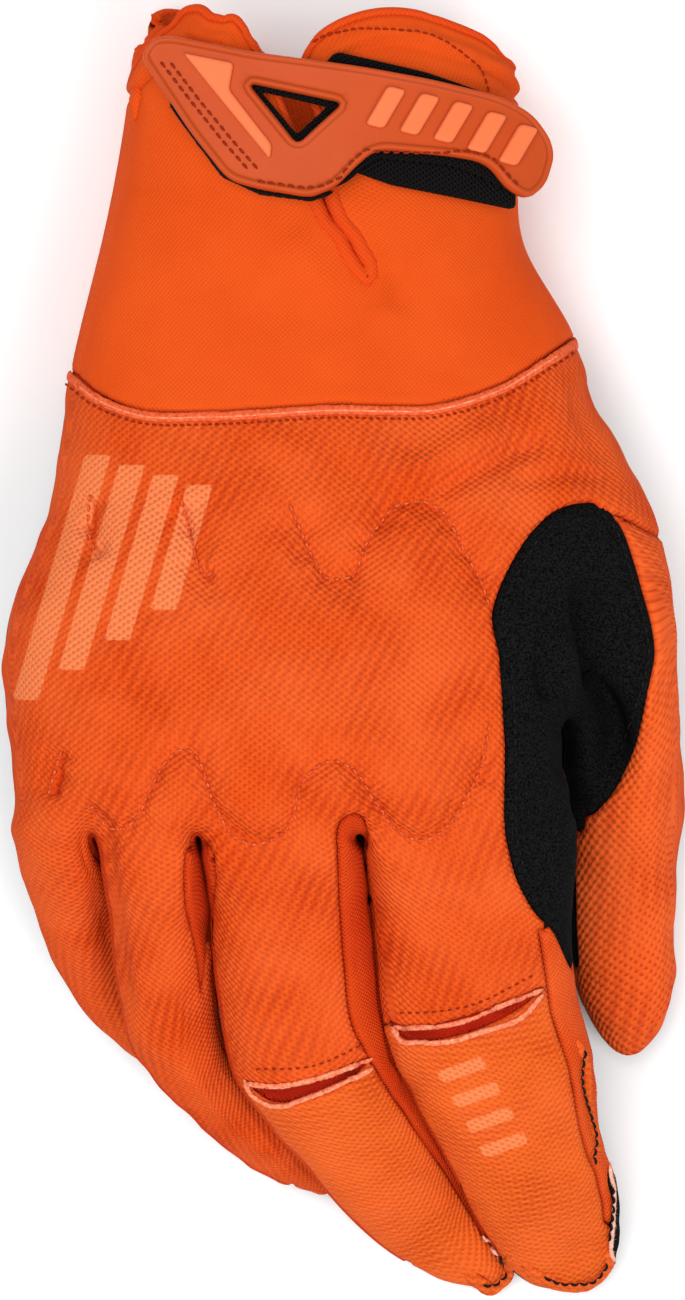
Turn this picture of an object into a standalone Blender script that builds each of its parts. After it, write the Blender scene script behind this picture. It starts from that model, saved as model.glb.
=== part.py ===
"""Motocross glove for the right hand, lying palm down with its fingers curled onto the surface.

The stuffed skin of the glove is one coarse cage that is smoothed, and each sewn panel is a shell
cut from it along its seams. The closing strap is a set of flat pieces laid over the cuff.
x runs to the thumb side, y to the cuff and z up. Lengths are in metres.
"""

import math

import bmesh
import bpy
import numpy as np
from mathutils import Matrix, Vector
from mathutils.bvhtree import BVHTree

GLOVE_LENGTH = 0.2210
GLOVE_WIDTH = 0.1165
GLOVE_HEIGHT = 0.0640

# walls of the sewn panels
CUFF_WALL = 0.0024
BACK_WALL = 0.0015
PALM_WALL = 0.0013
SIDE_WALL = 0.0010
SEAM_GAP = 0.0004

# rolled edge of the cuff
BINDING_RADIUS = 0.0013
BINDING_CLEARANCE = 0.0005

# closing strap
TAB_LENGTH = 0.0682
TAB_WIDTH = 0.0275
TAB_THICKNESS = 0.0020
LOOP_THICKNESS = 0.0012
HOOK_THICKNESS = 0.0010
RELIEF_HEIGHT = 0.0010
STRAP_CLEARANCE = 0.0004
DRAPE_STEP = 0.0060

# rows of the hand from the cuff's mouth to the roots of the fingers: place along the glove's
# length, left and right edge across its width, mid-height and half thickness in its height
HAND_ROWS = (
    ("mouth", 0.977, 0.184, 0.771, 0.336, 0.352),
    ("cuff_high", 0.919, 0.178, 0.771, 0.336, 0.352),
    ("cuff_mid", 0.854, 0.156, 0.764, 0.336, 0.352),
    ("slit_end", 0.785, 0.131, 0.768, 0.344, 0.359),
    ("seam", 0.688, 0.091, 0.852, 0.383, 0.367),
    ("wrist", 0.646, 0.078, 0.936, 0.438, 0.359),
    ("thumb_root", 0.600, 0.058, 0.998, 0.484, 0.352),
    ("thumb_high", 0.538, -0.006, 0.891, 0.547, 0.344),
    ("thumb_low", 0.469, -0.006, 0.876, 0.609, 0.336),
    ("crotch", 0.404, 0.012, 0.850, 0.656, 0.328),
    ("roots", 0.358, 0.020, 0.855, 0.672, 0.305),
)

# places of the finger borders on the back, as shares of each row's own width: outer edge of the
# little finger, its inner web, the next web, half a web, both sides of the third web or of the
# slit, outer line of the forefinger and edge of the hand
BACK_LINES = {
    "mouth": (0.035, 0.114, 0.219, 0.012, 0.316, 0.405, 0.876, 0.960),
    "cuff_high": (0.039, 0.148, 0.271, 0.015, 0.387, 0.488, 0.867, 0.951),
    "cuff_mid": (0.046, 0.171, 0.329, 0.017, 0.483, 0.611, 0.892, 0.964),
    "slit_end": (0.040, 0.168, 0.343, 0.018, 0.572, 0.648, 0.897, 0.964),
    "seam": (0.042, 0.185, 0.345, 0.015, 0.534, 0.557, 0.883, 0.958),
    "thumb_root": (0.038, 0.171, 0.306, 0.013, 0.479, 0.502, 0.816, 0.914),
    "thumb_high": (0.046, 0.189, 0.354, 0.015, 0.561, 0.586, 0.808, 0.917),
    "thumb_low": (0.043, 0.180, 0.354, 0.017, 0.579, 0.608, 0.834, 0.914),
    "crotch": (0.031, 0.157, 0.340, 0.021, 0.591, 0.624, 0.866, 0.962),
    "roots": (0.035, 0.145, 0.325, 0.026, 0.579, 0.624, 0.871, 0.969),
}

# wavy edge of the mouth: rise of each line of the back, in the glove's length
MOUTH_RISE = (
    -0.035, -0.019, 0.000, 0.014, 0.015, 0.016, 0.012, 0.013, 0.005, -0.015, -0.015, 0.021, 0.006,
    -0.008, -0.045,
)
PALM_MOUTH_RISE = 0.026
# rise of the cuff's seam at the little finger's side and at the thumb's side
SEAM_RISE_LEFT = 0.034
SEAM_RISE_RIGHT = 0.075
# share of that rise in the row above the seam
SEAM_RISE_HIGH = 0.35

# rings of the digits: place across the width and along the length, height, half width in the
# glove's width, half depth in its height, then turn, pitch and roll in degrees
DIGITS = {
    "pinky": (
        (0.102, 0.308, 0.430, 0.067, 0.148, 6, 30, -20),
        (0.147, 0.250, 0.283, 0.062, 0.136, 25, 36, -15),
        (0.199, 0.214, 0.184, 0.058, 0.125, 42, 28, -10),
        (0.248, 0.192, 0.125, 0.052, 0.112, 48, 12, 0),
        (0.276, 0.181, 0.070, 0.041, 0.090, 48, 2, 0),
    ),
    "ring": (
        (0.234, 0.281, 0.578, 0.080, 0.169, 4, 20, -12),
        (0.259, 0.206, 0.480, 0.074, 0.156, 14, 30, -8),
        (0.288, 0.167, 0.398, 0.069, 0.150, 30, 38, -6),
        (0.368, 0.122, 0.215, 0.068, 0.141, 45, 32, 0),
        (0.448, 0.092, 0.072, 0.055, 0.112, 48, 10, 0),
    ),
    "middle": (
        (0.425, 0.281, 0.625, 0.114, 0.172, 3, 15, -3),
        (0.455, 0.184, 0.542, 0.102, 0.163, 11, 24, 0),
        (0.458, 0.177, 0.534, 0.101, 0.160, 13, 27, 0),
        (0.550, 0.100, 0.305, 0.093, 0.156, 39, 36, 0),
        (0.655, 0.032, 0.060, 0.074, 0.120, 38, 10, 0),
    ),
    "index": (
        (0.686, 0.288, 0.625, 0.140, 0.180, 2, 12, 5),
        (0.696, 0.227, 0.566, 0.142, 0.180, 10, 18, 6),
        (0.698, 0.221, 0.558, 0.141, 0.176, 11, 22, 6),
        (0.783, 0.120, 0.335, 0.114, 0.172, 20, 34, 5),
        (0.838, 0.028, 0.078, 0.088, 0.125, 20, 12, 2),
    ),
    "thumb": (
        (0.920, 0.500, 0.422, 0.079, 0.219, 20, 35, -5),
        (0.934, 0.392, 0.281, 0.082, 0.188, -30, 20, -15),
        (0.920, 0.331, 0.203, 0.088, 0.172, 0, 15, -5),
        (0.916, 0.262, 0.148, 0.082, 0.153, 0, 7, 0),
        (0.928, 0.216, 0.120, 0.066, 0.125, 0, 4, 0),
    ),
}

# the strap's left end and lower edge on the glove, as shares of its width and length
TAB_PLACE = (0.212, 0.845)
# outlines of the strap's pieces, as shares of the tab's length and width
TAB_OUTLINE = (
    (0.000, 0.877), (0.035, 0.994), (0.085, 1.000), (0.292, 0.889), (0.541, 0.802),
    (0.708, 0.728), (0.873, 0.636), (0.948, 0.537), (0.990, 0.389), (1.000, 0.278),
    (0.980, 0.099), (0.940, 0.000), (0.890, 0.062), (0.840, 0.222), (0.763, 0.253),
    (0.579, 0.290), (0.529, 0.179), (0.484, 0.056), (0.429, 0.000), (0.404, 0.000),
    (0.282, 0.056), (0.222, 0.105), (0.132, 0.389),
)
TAB_WINDOW = ((0.284, 0.679), (0.481, 0.568), (0.389, 0.364))
BLADE_OUTLINE = ((0.112, 0.889), (0.239, 0.821), (0.227, 0.660), (0.332, 0.315), (0.327, 0.222))
LOOP_OUTLINE = (
    (0.456, 0.833), (0.484, 0.907), (0.711, 0.784), (0.885, 0.648), (0.935, 0.549),
    (0.933, -0.049), (0.623, 0.086), (0.529, 0.167), (0.486, 0.253),
)
HOOK_OUTLINE = (
    (0.262, 0.858), (0.541, 0.772), (0.835, 0.623), (0.915, 0.525), (0.925, 0.031),
    (0.835, 0.142), (0.761, 0.204), (0.579, 0.241), (0.511, 0.093), (0.436, 0.019),
    (0.292, 0.074),
)
HOOK_WINDOW = ((0.307, 0.642), (0.451, 0.556), (0.387, 0.414))
# slanted grip bars on the tab: place of the middle along and across it
BARS = ((0.600, 0.545), (0.678, 0.505), (0.756, 0.460), (0.834, 0.405), (0.908, 0.335))
BAR_LENGTH = 0.0075
BAR_WIDTH = 0.0030
BAR_SLANT = 28.0
# stretch of the tab's length over which its bed follows the cuff
BED_FROM = 0.08
BED_TO = 0.80

# roundness of the hand's cross-section and of a digit's
HAND_EXPONENT = 2.5
DIGIT_EXPONENT = 2.5
# the smoothed skin lies inside its cage by these shares
HAND_SWELL = 1.02
DIGIT_SWELL = 1.09
# how far the cage's tips stand past the last ring, in that ring's half depth
TIP_REACH = 1.9

FABRIC_ORANGE = (0.93, 0.13, 0.012)
CUFF_ORANGE = (0.95, 0.12, 0.010)
TAB_ORANGE = (0.78, 0.11, 0.018)
PALE_ORANGE = (1.0, 0.28, 0.11)
SUEDE_BLACK = (0.012, 0.012, 0.013)
HOOK_BLACK = (0.010, 0.010, 0.011)

REGIONS = (
    "cuff_shell", "hand_back", "index_tip_back", "middle_tip_back", "flex_insert_index",
    "flex_insert_middle", "index_side", "fourchette_index_middle", "fourchette_middle_ring",
    "fourchette_ring_pinky", "palm_panel", "thumb_back", "thumb_palm", "web_patch",
)
WALLS = {
    "cuff_shell": CUFF_WALL, "hand_back": BACK_WALL, "index_tip_back": BACK_WALL,
    "middle_tip_back": BACK_WALL, "flex_insert_index": SIDE_WALL,
    "flex_insert_middle": SIDE_WALL, "index_side": SIDE_WALL,
    "fourchette_index_middle": SIDE_WALL, "fourchette_middle_ring": SIDE_WALL,
    "fourchette_ring_pinky": SIDE_WALL, "palm_panel": PALM_WALL, "thumb_back": BACK_WALL,
    "thumb_palm": PALM_WALL, "web_patch": PALM_WALL,
}


def at(across, along, up):
    """A point from its shares of the glove's width, length and height."""
    return np.array([
        (across - 0.5) * GLOVE_WIDTH, (along - 0.5) * GLOVE_LENGTH, up * GLOVE_HEIGHT,
    ])


def power(value, exponent):
    return math.copysign(abs(value) ** exponent, value)


def lines_of(row, along):
    """The thirteen shares of the back's lines in one row, between the rows that are given."""
    given = [(next(r[1] for r in HAND_ROWS if r[0] == name), BACK_LINES[name])
             for name in BACK_LINES]
    given.sort()
    places = [g[0] for g in given]
    outer, web_a, web_b, half, slit_a, slit_b, line, edge = (
        float(np.interp(along, places, [g[1][k] for g in given])) for k in range(8)
    )
    a, b = web_a - half, web_a + half
    c, d = web_b - half, web_b + half
    return [outer, (outer + a) / 2, a, b, (b + c) / 2, c, d, (d + slit_a) / 2, slit_a,
            slit_b, (slit_b + line) / 2, line, edge]


def hand_ring(row):
    """Back lines from the little finger's side to the thumb's, the side, the palm lines back."""
    name, along, left, right, middle, half = row
    shares = lines_of(name, along)
    palm = shares if along < 0.66 else lines_of("seam", 0.688)
    around = [(0.0, 0)] + [(s, 1) for s in shares] + [(1.0, 0)]
    around += [(s, -1) for s in reversed([palm[k] for k in range(12)])]
    ring = []
    for index, (share, side) in enumerate(around):
        x = 2 * share - 1
        z = side * max(0.0, 1 - abs(x) ** HAND_EXPONENT) ** (1 / HAND_EXPONENT)
        place = along
        if name == "mouth":
            place += MOUTH_RISE[index] if index < 15 else PALM_MOUTH_RISE
        if name in ("seam", "slit_end") and side >= 0:
            part = 1.0 if name == "seam" else SEAM_RISE_HIGH
            place += part * SEAM_RISE_LEFT * max(0.0, -x - 0.45) ** 2 / 0.30
            place += part * SEAM_RISE_RIGHT * max(0.0, x - 0.25) ** 2 / 0.56
        across = (left + right) / 2 + x * HAND_SWELL * (right - left) / 2
        ring.append(at(across, place, middle + z * HAND_SWELL * half))
    return ring


def digit_frame(row):
    """Centre, sideways, upward and forward vectors of a digit's ring."""
    across, along, up, width, depth, turn, pitch, roll = row
    turn, pitch, roll = (math.radians(v) for v in (turn, pitch, roll))
    side = np.array([math.cos(turn), math.sin(turn), 0.0])
    ahead = np.array([math.sin(turn), -math.cos(turn), 0.0])
    top = math.cos(pitch) * np.array([0, 0, 1.0]) + math.sin(pitch) * ahead
    forward = math.cos(pitch) * ahead - math.sin(pitch) * np.array([0, 0, 1.0])
    rolled = math.cos(roll) * side - math.sin(roll) * top
    top = math.cos(roll) * top + math.sin(roll) * side
    half_width = width * GLOVE_WIDTH * DIGIT_SWELL
    half_depth = depth * GLOVE_HEIGHT * DIGIT_SWELL
    return at(across, along, up), rolled * half_width, top * half_depth, forward


def digit_ring(row, angles):
    centre, side, top, _ = digit_frame(row)
    ring = []
    for angle in angles:
        a = math.radians(angle)
        ring.append(
            centre + side * power(math.cos(a), 2 / DIGIT_EXPONENT)
            + top * power(math.sin(a), 2 / DIGIT_EXPONENT)
        )
    return ring


def build_cage():
    """Points, faces and the region of each face. The slit's faces have the region slit."""
    points, faces = [], []

    def add(ring):
        first = len(points)
        points.extend(ring)
        return list(range(first, first + len(ring)))

    rows = [add(hand_ring(row)) for row in HAND_ROWS]
    names = [row[0] for row in HAND_ROWS]
    count = len(rows[0])
    root = names.index("thumb_root")
    crotch = names.index("crotch")

    # index 0 is the little finger's side, 1 to 13 the back, 14 the thumb's side, 15 to 26 the palm
    for k in range(len(rows) - 1):
        for j in range(count):
            if root <= k < crotch and j in (13, 14):
                continue
            n = (j + 1) % count
            if k < names.index("seam"):
                region = "slit" if j == 9 and k < names.index("slit_end") else "cuff_shell"
            elif j >= 14:
                region = "palm_panel"
            elif j >= 12 and k >= root:
                region = "web_patch"
            elif j == 13 and k >= root - 1:
                region = "thumb_back"
            else:
                region = "hand_back"
            faces.append((region, [rows[k][j], rows[k][n], rows[k + 1][n], rows[k + 1][j]]))

    # roots of the fingers: back lines 1-3, 4-6, 7-9 and 10-13, palm lines 26-24 and so on
    last = rows[-1]

    def mid(a, b):
        low, high = points[last[b]], points[last[a]]
        return add([low * 0.5 + high * 0.5 + np.array([0, 0.010 * GLOVE_LENGTH, 0])])[0]

    web_names = ("fourchette_ring_pinky", "fourchette_middle_ring", "fourchette_index_middle")
    mids = []
    for k, region in enumerate(web_names):
        back_a, back_b = last[3 + 3 * k], last[4 + 3 * k]
        palm_a, palm_b = last[24 - 3 * k], last[23 - 3 * k]
        mid_a = mid(3 + 3 * k, 24 - 3 * k)
        mid_b = mid(4 + 3 * k, 23 - 3 * k)
        faces.append((region, [back_a, back_b, mid_b, mid_a]))
        faces.append((region, [mid_a, mid_b, palm_b, palm_a]))
        mids.append((mid_a, mid_b))

    def digit(name, start, angles, label):
        ring = start
        for k, row in enumerate(DIGITS[name]):
            new = add(digit_ring(row, angles))
            for j in range(len(ring)):
                n = (j + 1) % len(ring)
                faces.append((label(j, k), [ring[j], ring[n], new[n], new[j]]))
            ring = new
        centre, _, top, forward = digit_frame(DIGITS[name][-1])
        reach = np.linalg.norm(top) * TIP_REACH
        tip = add([centre + forward * reach])[0]
        j = 0
        while j < len(ring):
            step = 2 if j + 2 <= len(ring) else 1
            corner = [ring[(j + s) % len(ring)] for s in range(step + 1)]
            faces.append((label(j, len(DIGITS[name])), [tip] + corner))
            j += step

    eight = (180, 135, 90, 45, 0, -45, -90, -135)

    def plain(side_a, side_b):
        return lambda j, k: (
            "hand_back" if j in (1, 2) or (k == 5 and j in (0, 2)) else
            "palm_panel" if j in (5, 6) or k == 5 else side_a if j in (0, 7) else side_b
        )

    def with_slot(side_a, side_b, insert, tip):
        def label(j, k):
            if j in (1, 2):
                return "hand_back" if k < 2 else insert if k == 2 else tip
            if k == 5:
                return tip if j == 0 else "palm_panel"
            if j in (5, 6):
                return "palm_panel"
            return side_a if j in (0, 7) else side_b
        return label

    pinky_web, ring_web, index_web = mids

    def pinky_label(j, k):
        if j in (0, 1, 2) and k < 5 or k == 5 and j < 3:
            return "hand_back"
        if k == 5 or j >= 5:
            return "palm_panel"
        return "fourchette_ring_pinky"

    digit("pinky", [last[0], last[1], last[2], last[3], pinky_web[0], last[24], last[25],
                    last[26]], eight, pinky_label)
    digit("ring", [pinky_web[1], last[4], last[5], last[6], ring_web[0], last[21], last[22],
                   last[23]], eight, plain("fourchette_ring_pinky", "fourchette_middle_ring"))
    digit("middle", [ring_web[1], last[7], last[8], last[9], index_web[0], last[18], last[19],
                     last[20]], eight,
          with_slot("fourchette_middle_ring", "fourchette_index_middle", "flex_insert_middle",
                    "middle_tip_back"))

    def index_label(j, k):
        if k == 5:
            return "index_tip_back" if j < 3 else "palm_panel"
        if j in (1, 2):
            return "hand_back" if k < 2 else "flex_insert_index" if k == 2 else "index_tip_back"
        if j in (3, 4):
            return "web_patch" if k == 0 else "index_side"
        return "fourchette_index_middle" if j in (0, 8) else "palm_panel"

    digit("index", [index_web[1], last[10], last[11], last[12], last[13], last[14], last[15],
                    last[16], last[17]],
          (180, 135, 92, 48, 20, -15, -55, -92, -135), index_label)

    # the thumb grows from the opening on the hand's side
    opening = [rows[root][14], rows[root][13], rows[root + 1][13], rows[root + 2][13],
               rows[crotch][13], rows[crotch][14], rows[crotch][15], rows[root + 2][15],
               rows[root + 1][15], rows[root][15]]

    def thumb_label(j, k):
        if j in (1, 2, 3, 4) and k < 2:
            return "web_patch"
        if k == 5:
            return "thumb_back" if j < 4 else "thumb_palm"
        if j in (5, 6, 7, 8):
            return "palm_panel" if k == 0 else "thumb_palm"
        return "thumb_back"

    digit("thumb", opening, (0, 36, 72, 108, 144, 180, 216, 252, 288, 324), thumb_label)
    return points, faces


def mesh_object(name, points, faces):
    mesh = bpy.data.meshes.new(name)
    mesh.from_pydata([tuple(map(float, p)) for p in points], [], faces)
    mesh.update()
    return bpy.data.objects.new(name, mesh)


def smoothed(cage_points, cage_faces, levels):
    """The cage after smoothing: points, faces and each face's region."""
    labels = sorted({region for region, _ in cage_faces})
    obj = mesh_object("cage", cage_points, [f for _, f in cage_faces])
    bpy.context.scene.collection.objects.link(obj)
    edit = bmesh.new()
    edit.from_mesh(obj.data)
    for face, (region, _) in zip(edit.faces, cage_faces):
        face.material_index = labels.index(region)
    bmesh.ops.recalc_face_normals(edit, faces=edit.faces)
    edit.to_mesh(obj.data)
    edit.free()
    smooth = obj.modifiers.new("smooth", "SUBSURF")
    smooth.levels = levels
    smooth.render_levels = levels
    mesh = bpy.data.meshes.new_from_object(
        obj.evaluated_get(bpy.context.evaluated_depsgraph_get())
    )
    points = np.array([v.co[:] for v in mesh.vertices])
    faces = [tuple(p.vertices) for p in mesh.polygons]
    regions = [labels[p.material_index] for p in mesh.polygons]
    bpy.data.objects.remove(obj)
    bpy.data.meshes.remove(mesh)
    points[:, 2] = np.maximum(points[:, 2], 0.0)
    return points, faces, regions


def face_normals(points, faces):
    found = np.zeros((len(faces), 3))
    for k, face in enumerate(faces):
        p = points[list(face)]
        found[k] = np.cross(p, np.roll(p, -1, 0)).sum(0) / 2
    return found


def point_normals(points, faces):
    flat = face_normals(points, faces)
    found = np.zeros_like(points)
    for normal, face in zip(flat, faces):
        found[list(face)] += normal
    return found / np.maximum(np.linalg.norm(found, axis=1), 1e-12)[:, None]


def border_of(faces):
    """Directed edges of the faces that only one of them has, each with its face."""
    owner = {}
    for k, face in enumerate(faces):
        for a, b in zip(face, face[1:] + face[:1]):
            owner[(a, b)] = k
    return {edge: k for edge, k in owner.items() if edge[::-1] not in owner}


def insets(points, faces, border, distance):
    """Moves of the border's points into the panel, along its surface."""
    sums, parts = {}, {}
    for (a, b), k in border.items():
        along = points[b] - points[a]
        along /= np.linalg.norm(along)
        inward = points[list(faces[k])].mean(0) - (points[a] + points[b]) / 2
        inward -= along * inward.dot(along)
        inward /= np.linalg.norm(inward)
        for v in (a, b):
            sums[v] = sums.get(v, 0) + inward
            parts.setdefault(v, []).append(inward)
    moves = {}
    for v, total in sums.items():
        direction = total / max(np.linalg.norm(total), 1e-9)
        reach = max(0.55, min(float(direction.dot(p)) for p in parts[v]))
        moves[v] = direction * distance / reach
    return moves


def panel_shell(name, points, normals, faces, wall):
    """A closed shell from one panel of the skin, drawn in from its seams by half the gap."""
    border = border_of(faces)
    moves = insets(points, faces, border, SEAM_GAP / 2)
    used = sorted({v for face in faces for v in face})
    number = {v: k for k, v in enumerate(used)}
    outer = np.array([points[v] + moves.get(v, 0.0) for v in used])
    inner = outer - normals[used] * wall
    count = len(used)
    shell = [[number[v] for v in face] for face in faces]
    shell += [[number[v] + count for v in reversed(face)] for face in faces]
    shell += [[number[b], number[a], number[a] + count, number[b] + count] for a, b in border]
    return mesh_object(name, np.concatenate([outer, inner]), shell)


def loops_of(edges):
    """The closed runs of points along directed edges."""
    after = {a: b for a, b in edges}
    runs = []
    while after:
        start = next(iter(after))
        run, point = [], start
        while point in after:
            run.append(point)
            point = after.pop(point)
        runs.append(run)
    return runs


def plain_material(name, colour, roughness, metallic=0.0):
    made = bpy.data.materials.get(name)
    if made:
        return made
    made = bpy.data.materials.new(name)
    made.use_nodes = True
    surface = made.node_tree.nodes["Principled BSDF"]
    surface.inputs["Base Color"].default_value = (*colour, 1.0)
    surface.inputs["Roughness"].default_value = roughness
    surface.inputs["Metallic"].default_value = metallic
    made.diffuse_color = (*colour, 1.0)
    return made


for old in list(bpy.data.objects):
    bpy.data.objects.remove(old, do_unlink=True)
glove = bpy.data.collections.new("motocross_glove")
bpy.context.scene.collection.children.link(glove)

fabric = plain_material("mesh_knit", FABRIC_ORANGE, 0.85)
cuff_cloth = plain_material("cuff_neoprene", CUFF_ORANGE, 0.8)
binding_cloth = plain_material("cuff_binding", CUFF_ORANGE, 0.85)
stretch = plain_material("stretch_knit", FABRIC_ORANGE, 0.9)
tab_rubber = plain_material("tab_rubber", TAB_ORANGE, 0.5)
pale_rubber = plain_material("pale_rubber", PALE_ORANGE, 0.5)
suede = plain_material("black_suede", SUEDE_BLACK, 0.9)
hook_cloth = plain_material("hook_and_loop", HOOK_BLACK, 0.95)
PANEL_MATERIALS = {
    "cuff_shell": cuff_cloth, "palm_panel": suede, "thumb_palm": suede, "web_patch": suede,
    "index_side": stretch, "flex_insert_index": stretch, "flex_insert_middle": stretch,
    "fourchette_index_middle": stretch, "fourchette_middle_ring": stretch,
    "fourchette_ring_pinky": stretch,
}


def place(obj, material):
    obj.data.materials.clear()
    obj.data.materials.append(material)
    obj.data.shade_smooth()
    obj.data.set_sharp_from_angle(angle=math.radians(40))
    glove.objects.link(obj)
    return obj


# sewn panels
cage_points, cage_faces = build_cage()
open_faces = [item for item in cage_faces if item[0] != "slit"]
skin, skin_faces, skin_regions = smoothed(cage_points, open_faces, 1)
skin_normals = point_normals(skin, skin_faces)
for region in REGIONS:
    panel = [f for f, r in zip(skin_faces, skin_regions) if r == region]
    shell = panel_shell(region, skin, skin_normals, panel, WALLS[region])
    place(shell, PANEL_MATERIALS.get(region, fabric))

# rolled edge round the mouth and the slit
edge_run = max(loops_of(border_of(skin_faces)), key=len)
edge_border = border_of(skin_faces)
edge_moves = insets(skin, skin_faces, edge_border, 1.0)
edge_line = []
for v in edge_run:
    outward = -edge_moves[v] / np.linalg.norm(edge_moves[v])
    middle = skin[v] - skin_normals[v] * CUFF_WALL / 2
    edge_line.append(middle + outward * (BINDING_RADIUS + BINDING_CLEARANCE))
edge_line = np.array(edge_line)
edge_line[:, 2] = np.maximum(edge_line[:, 2], BINDING_RADIUS)
rolled = bpy.data.curves.new("cuff_binding", "CURVE")
rolled.dimensions = "3D"
rolled.bevel_depth = BINDING_RADIUS
rolled.bevel_resolution = 0
run = rolled.splines.new("POLY")
run.points.add(len(edge_line) - 1)
for point, spot in zip(run.points, edge_line):
    point.co = (*map(float, spot), 1.0)
run.use_cyclic_u = True
binding = bpy.data.objects.new("cuff_binding", rolled)
rolled.materials.append(binding_cloth)
glove.objects.link(binding)

# the strap lies over the whole cuff, across the slit, on a smooth bed that clears its back
whole, whole_faces, _ = smoothed(cage_points, cage_faces, 2)
whole_tree = BVHTree.FromPolygons([tuple(p) for p in whole], whole_faces)
bed_start = at(TAB_PLACE[0], TAB_PLACE[1], 0.0)


def bed_terms(x, y):
    a = (x - bed_start[0]) / TAB_LENGTH - 0.5
    b = (y - bed_start[1]) / TAB_WIDTH - 0.5
    return np.array([1.0, a, a * a, a ** 3, b])


def fit_bed():
    """Factors of the bed's smooth height, least squares over the cuff and then raised clear."""
    terms, heights = [], []
    for a in np.linspace(BED_FROM, BED_TO, 25):
        for b in np.linspace(-0.1, 0.95, 9):
            x, y = bed_start[0] + a * TAB_LENGTH, bed_start[1] + b * TAB_WIDTH
            hit = whole_tree.ray_cast(Vector((x, y, 1.0)), Vector((0, 0, -1)))
            if hit[0]:
                terms.append(bed_terms(x, y))
                heights.append(hit[0].z)
    terms, heights = np.array(terms), np.array(heights)
    factors = np.linalg.lstsq(terms, heights, rcond=None)[0]
    factors[0] += (heights - terms @ factors).max()
    return factors


bed = fit_bed()


def on_bed(x, y, lift):
    """A point at a height above the bed, measured square to it."""
    step = 1e-4
    z = bed @ bed_terms(x, y)
    slope_x = (bed @ bed_terms(x + step, y) - z) / step
    slope_y = (bed @ bed_terms(x, y + step) - z) / step
    normal = np.array([-slope_x, -slope_y, 1.0])
    return np.array([x, y, z]) + normal / np.linalg.norm(normal) * lift


def tab_point(along, across):
    start = at(TAB_PLACE[0], TAB_PLACE[1], 0.0)
    return np.array([start[0] + along * TAB_LENGTH, start[1] + across * TAB_WIDTH])


def flat_cut(outline, windows, step):
    """Triangles of an outline with windows, cut along a grid so that they can bend."""
    edit = bmesh.new()
    for line in [outline] + windows:
        ring = [edit.verts.new((float(x), float(y), 0.0)) for x, y in line]
        for a, b in zip(ring, ring[1:] + ring[:1]):
            edit.edges.new((a, b))
    bmesh.ops.triangle_fill(edit, edges=edit.edges[:], use_beauty=True)
    pts = np.array([v.co[:2] for v in edit.verts])
    for axis in (0, 1):
        low, high = pts[:, axis].min(), pts[:, axis].max()
        count = max(1, round((high - low) / step))
        for k in range(1, count):
            spot = [0.0, 0.0, 0.0]
            normal = [0.0, 0.0, 0.0]
            spot[axis] = low + (high - low) * k / count
            normal[axis] = 1.0
            bmesh.ops.bisect_plane(
                edit, geom=edit.verts[:] + edit.edges[:] + edit.faces[:], dist=1e-7,
                plane_co=spot, plane_no=normal,
            )
    bmesh.ops.triangulate(edit, faces=edit.faces[:])
    return edit


def draped(name, outline, windows, lift, thickness, material):
    """A flat piece bent over the cuff, its lower face lifted by a height."""
    edit = flat_cut(outline, windows, DRAPE_STEP)
    for vert in edit.verts:
        vert.co = on_bed(vert.co.x, vert.co.y, lift)
    bmesh.ops.recalc_face_normals(edit, faces=edit.faces[:])
    if sum(face.normal.z for face in edit.faces) < 0:
        bmesh.ops.reverse_faces(edit, faces=edit.faces[:])
    mesh = bpy.data.meshes.new(name)
    edit.to_mesh(mesh)
    edit.free()
    obj = bpy.data.objects.new(name, mesh)
    thick = obj.modifiers.new("thick", "SOLIDIFY")
    thick.thickness = thickness
    thick.offset = 1.0
    return place(obj, material)


loop_lift = STRAP_CLEARANCE
hook_lift = loop_lift + LOOP_THICKNESS + STRAP_CLEARANCE
tab_lift = hook_lift + HOOK_THICKNESS + STRAP_CLEARANCE
relief_lift = tab_lift + TAB_THICKNESS + STRAP_CLEARANCE

loop_line = [tab_point(*p) for p in LOOP_OUTLINE]
draped("loop_patch", loop_line, [], loop_lift, LOOP_THICKNESS, hook_cloth)
hook_line = [tab_point(*p) for p in HOOK_OUTLINE]
hook_window = [tab_point(*p) for p in HOOK_WINDOW]
draped("tab_hook_backing", hook_line, [hook_window], hook_lift, HOOK_THICKNESS, hook_cloth)
tab_line = [tab_point(*p) for p in TAB_OUTLINE]
tab_window = [tab_point(*p) for p in TAB_WINDOW]
draped("closure_tab", tab_line, [tab_window], tab_lift, TAB_THICKNESS, tab_rubber)
blade_line = [tab_point(*p) for p in BLADE_OUTLINE]
draped("tab_blade", blade_line, [], relief_lift, RELIEF_HEIGHT, pale_rubber)
slant = math.radians(BAR_SLANT)
for k, spot in enumerate(BARS):
    centre = tab_point(*spot)
    tall = np.array([math.sin(slant), math.cos(slant)]) * BAR_LENGTH / 2
    wide = np.array([math.cos(slant / 2), -math.sin(slant / 2)]) * BAR_WIDTH / 2
    corners = [centre - tall - wide, centre - tall + wide, centre + tall + wide,
               centre + tall - wide]
    draped(f"tab_bar_{k + 1}", corners, [], relief_lift, RELIEF_HEIGHT, pale_rubber)


# the middle of the glove's base is the origin
bpy.context.view_layer.update()
graph = bpy.context.evaluated_depsgraph_get()
corners = []
for obj in glove.objects:
    mesh = obj.evaluated_get(graph).to_mesh()
    spots = np.array([v.co[:] for v in mesh.vertices])
    corners += [spots.min(0), spots.max(0)]
corners = np.array(corners)
low, high = corners.min(0), corners.max(0)
shift = np.array([-(low[0] + high[0]) / 2, -(low[1] + high[1]) / 2, -low[2]])
for obj in glove.objects:
    if obj.type == "CURVE":
        for point in obj.data.splines[0].points:
            point.co = (*(np.array(point.co[:3]) + shift), 1.0)
    else:
        obj.data.transform(Matrix.Translation(Vector(shift)))
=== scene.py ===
import math

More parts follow.
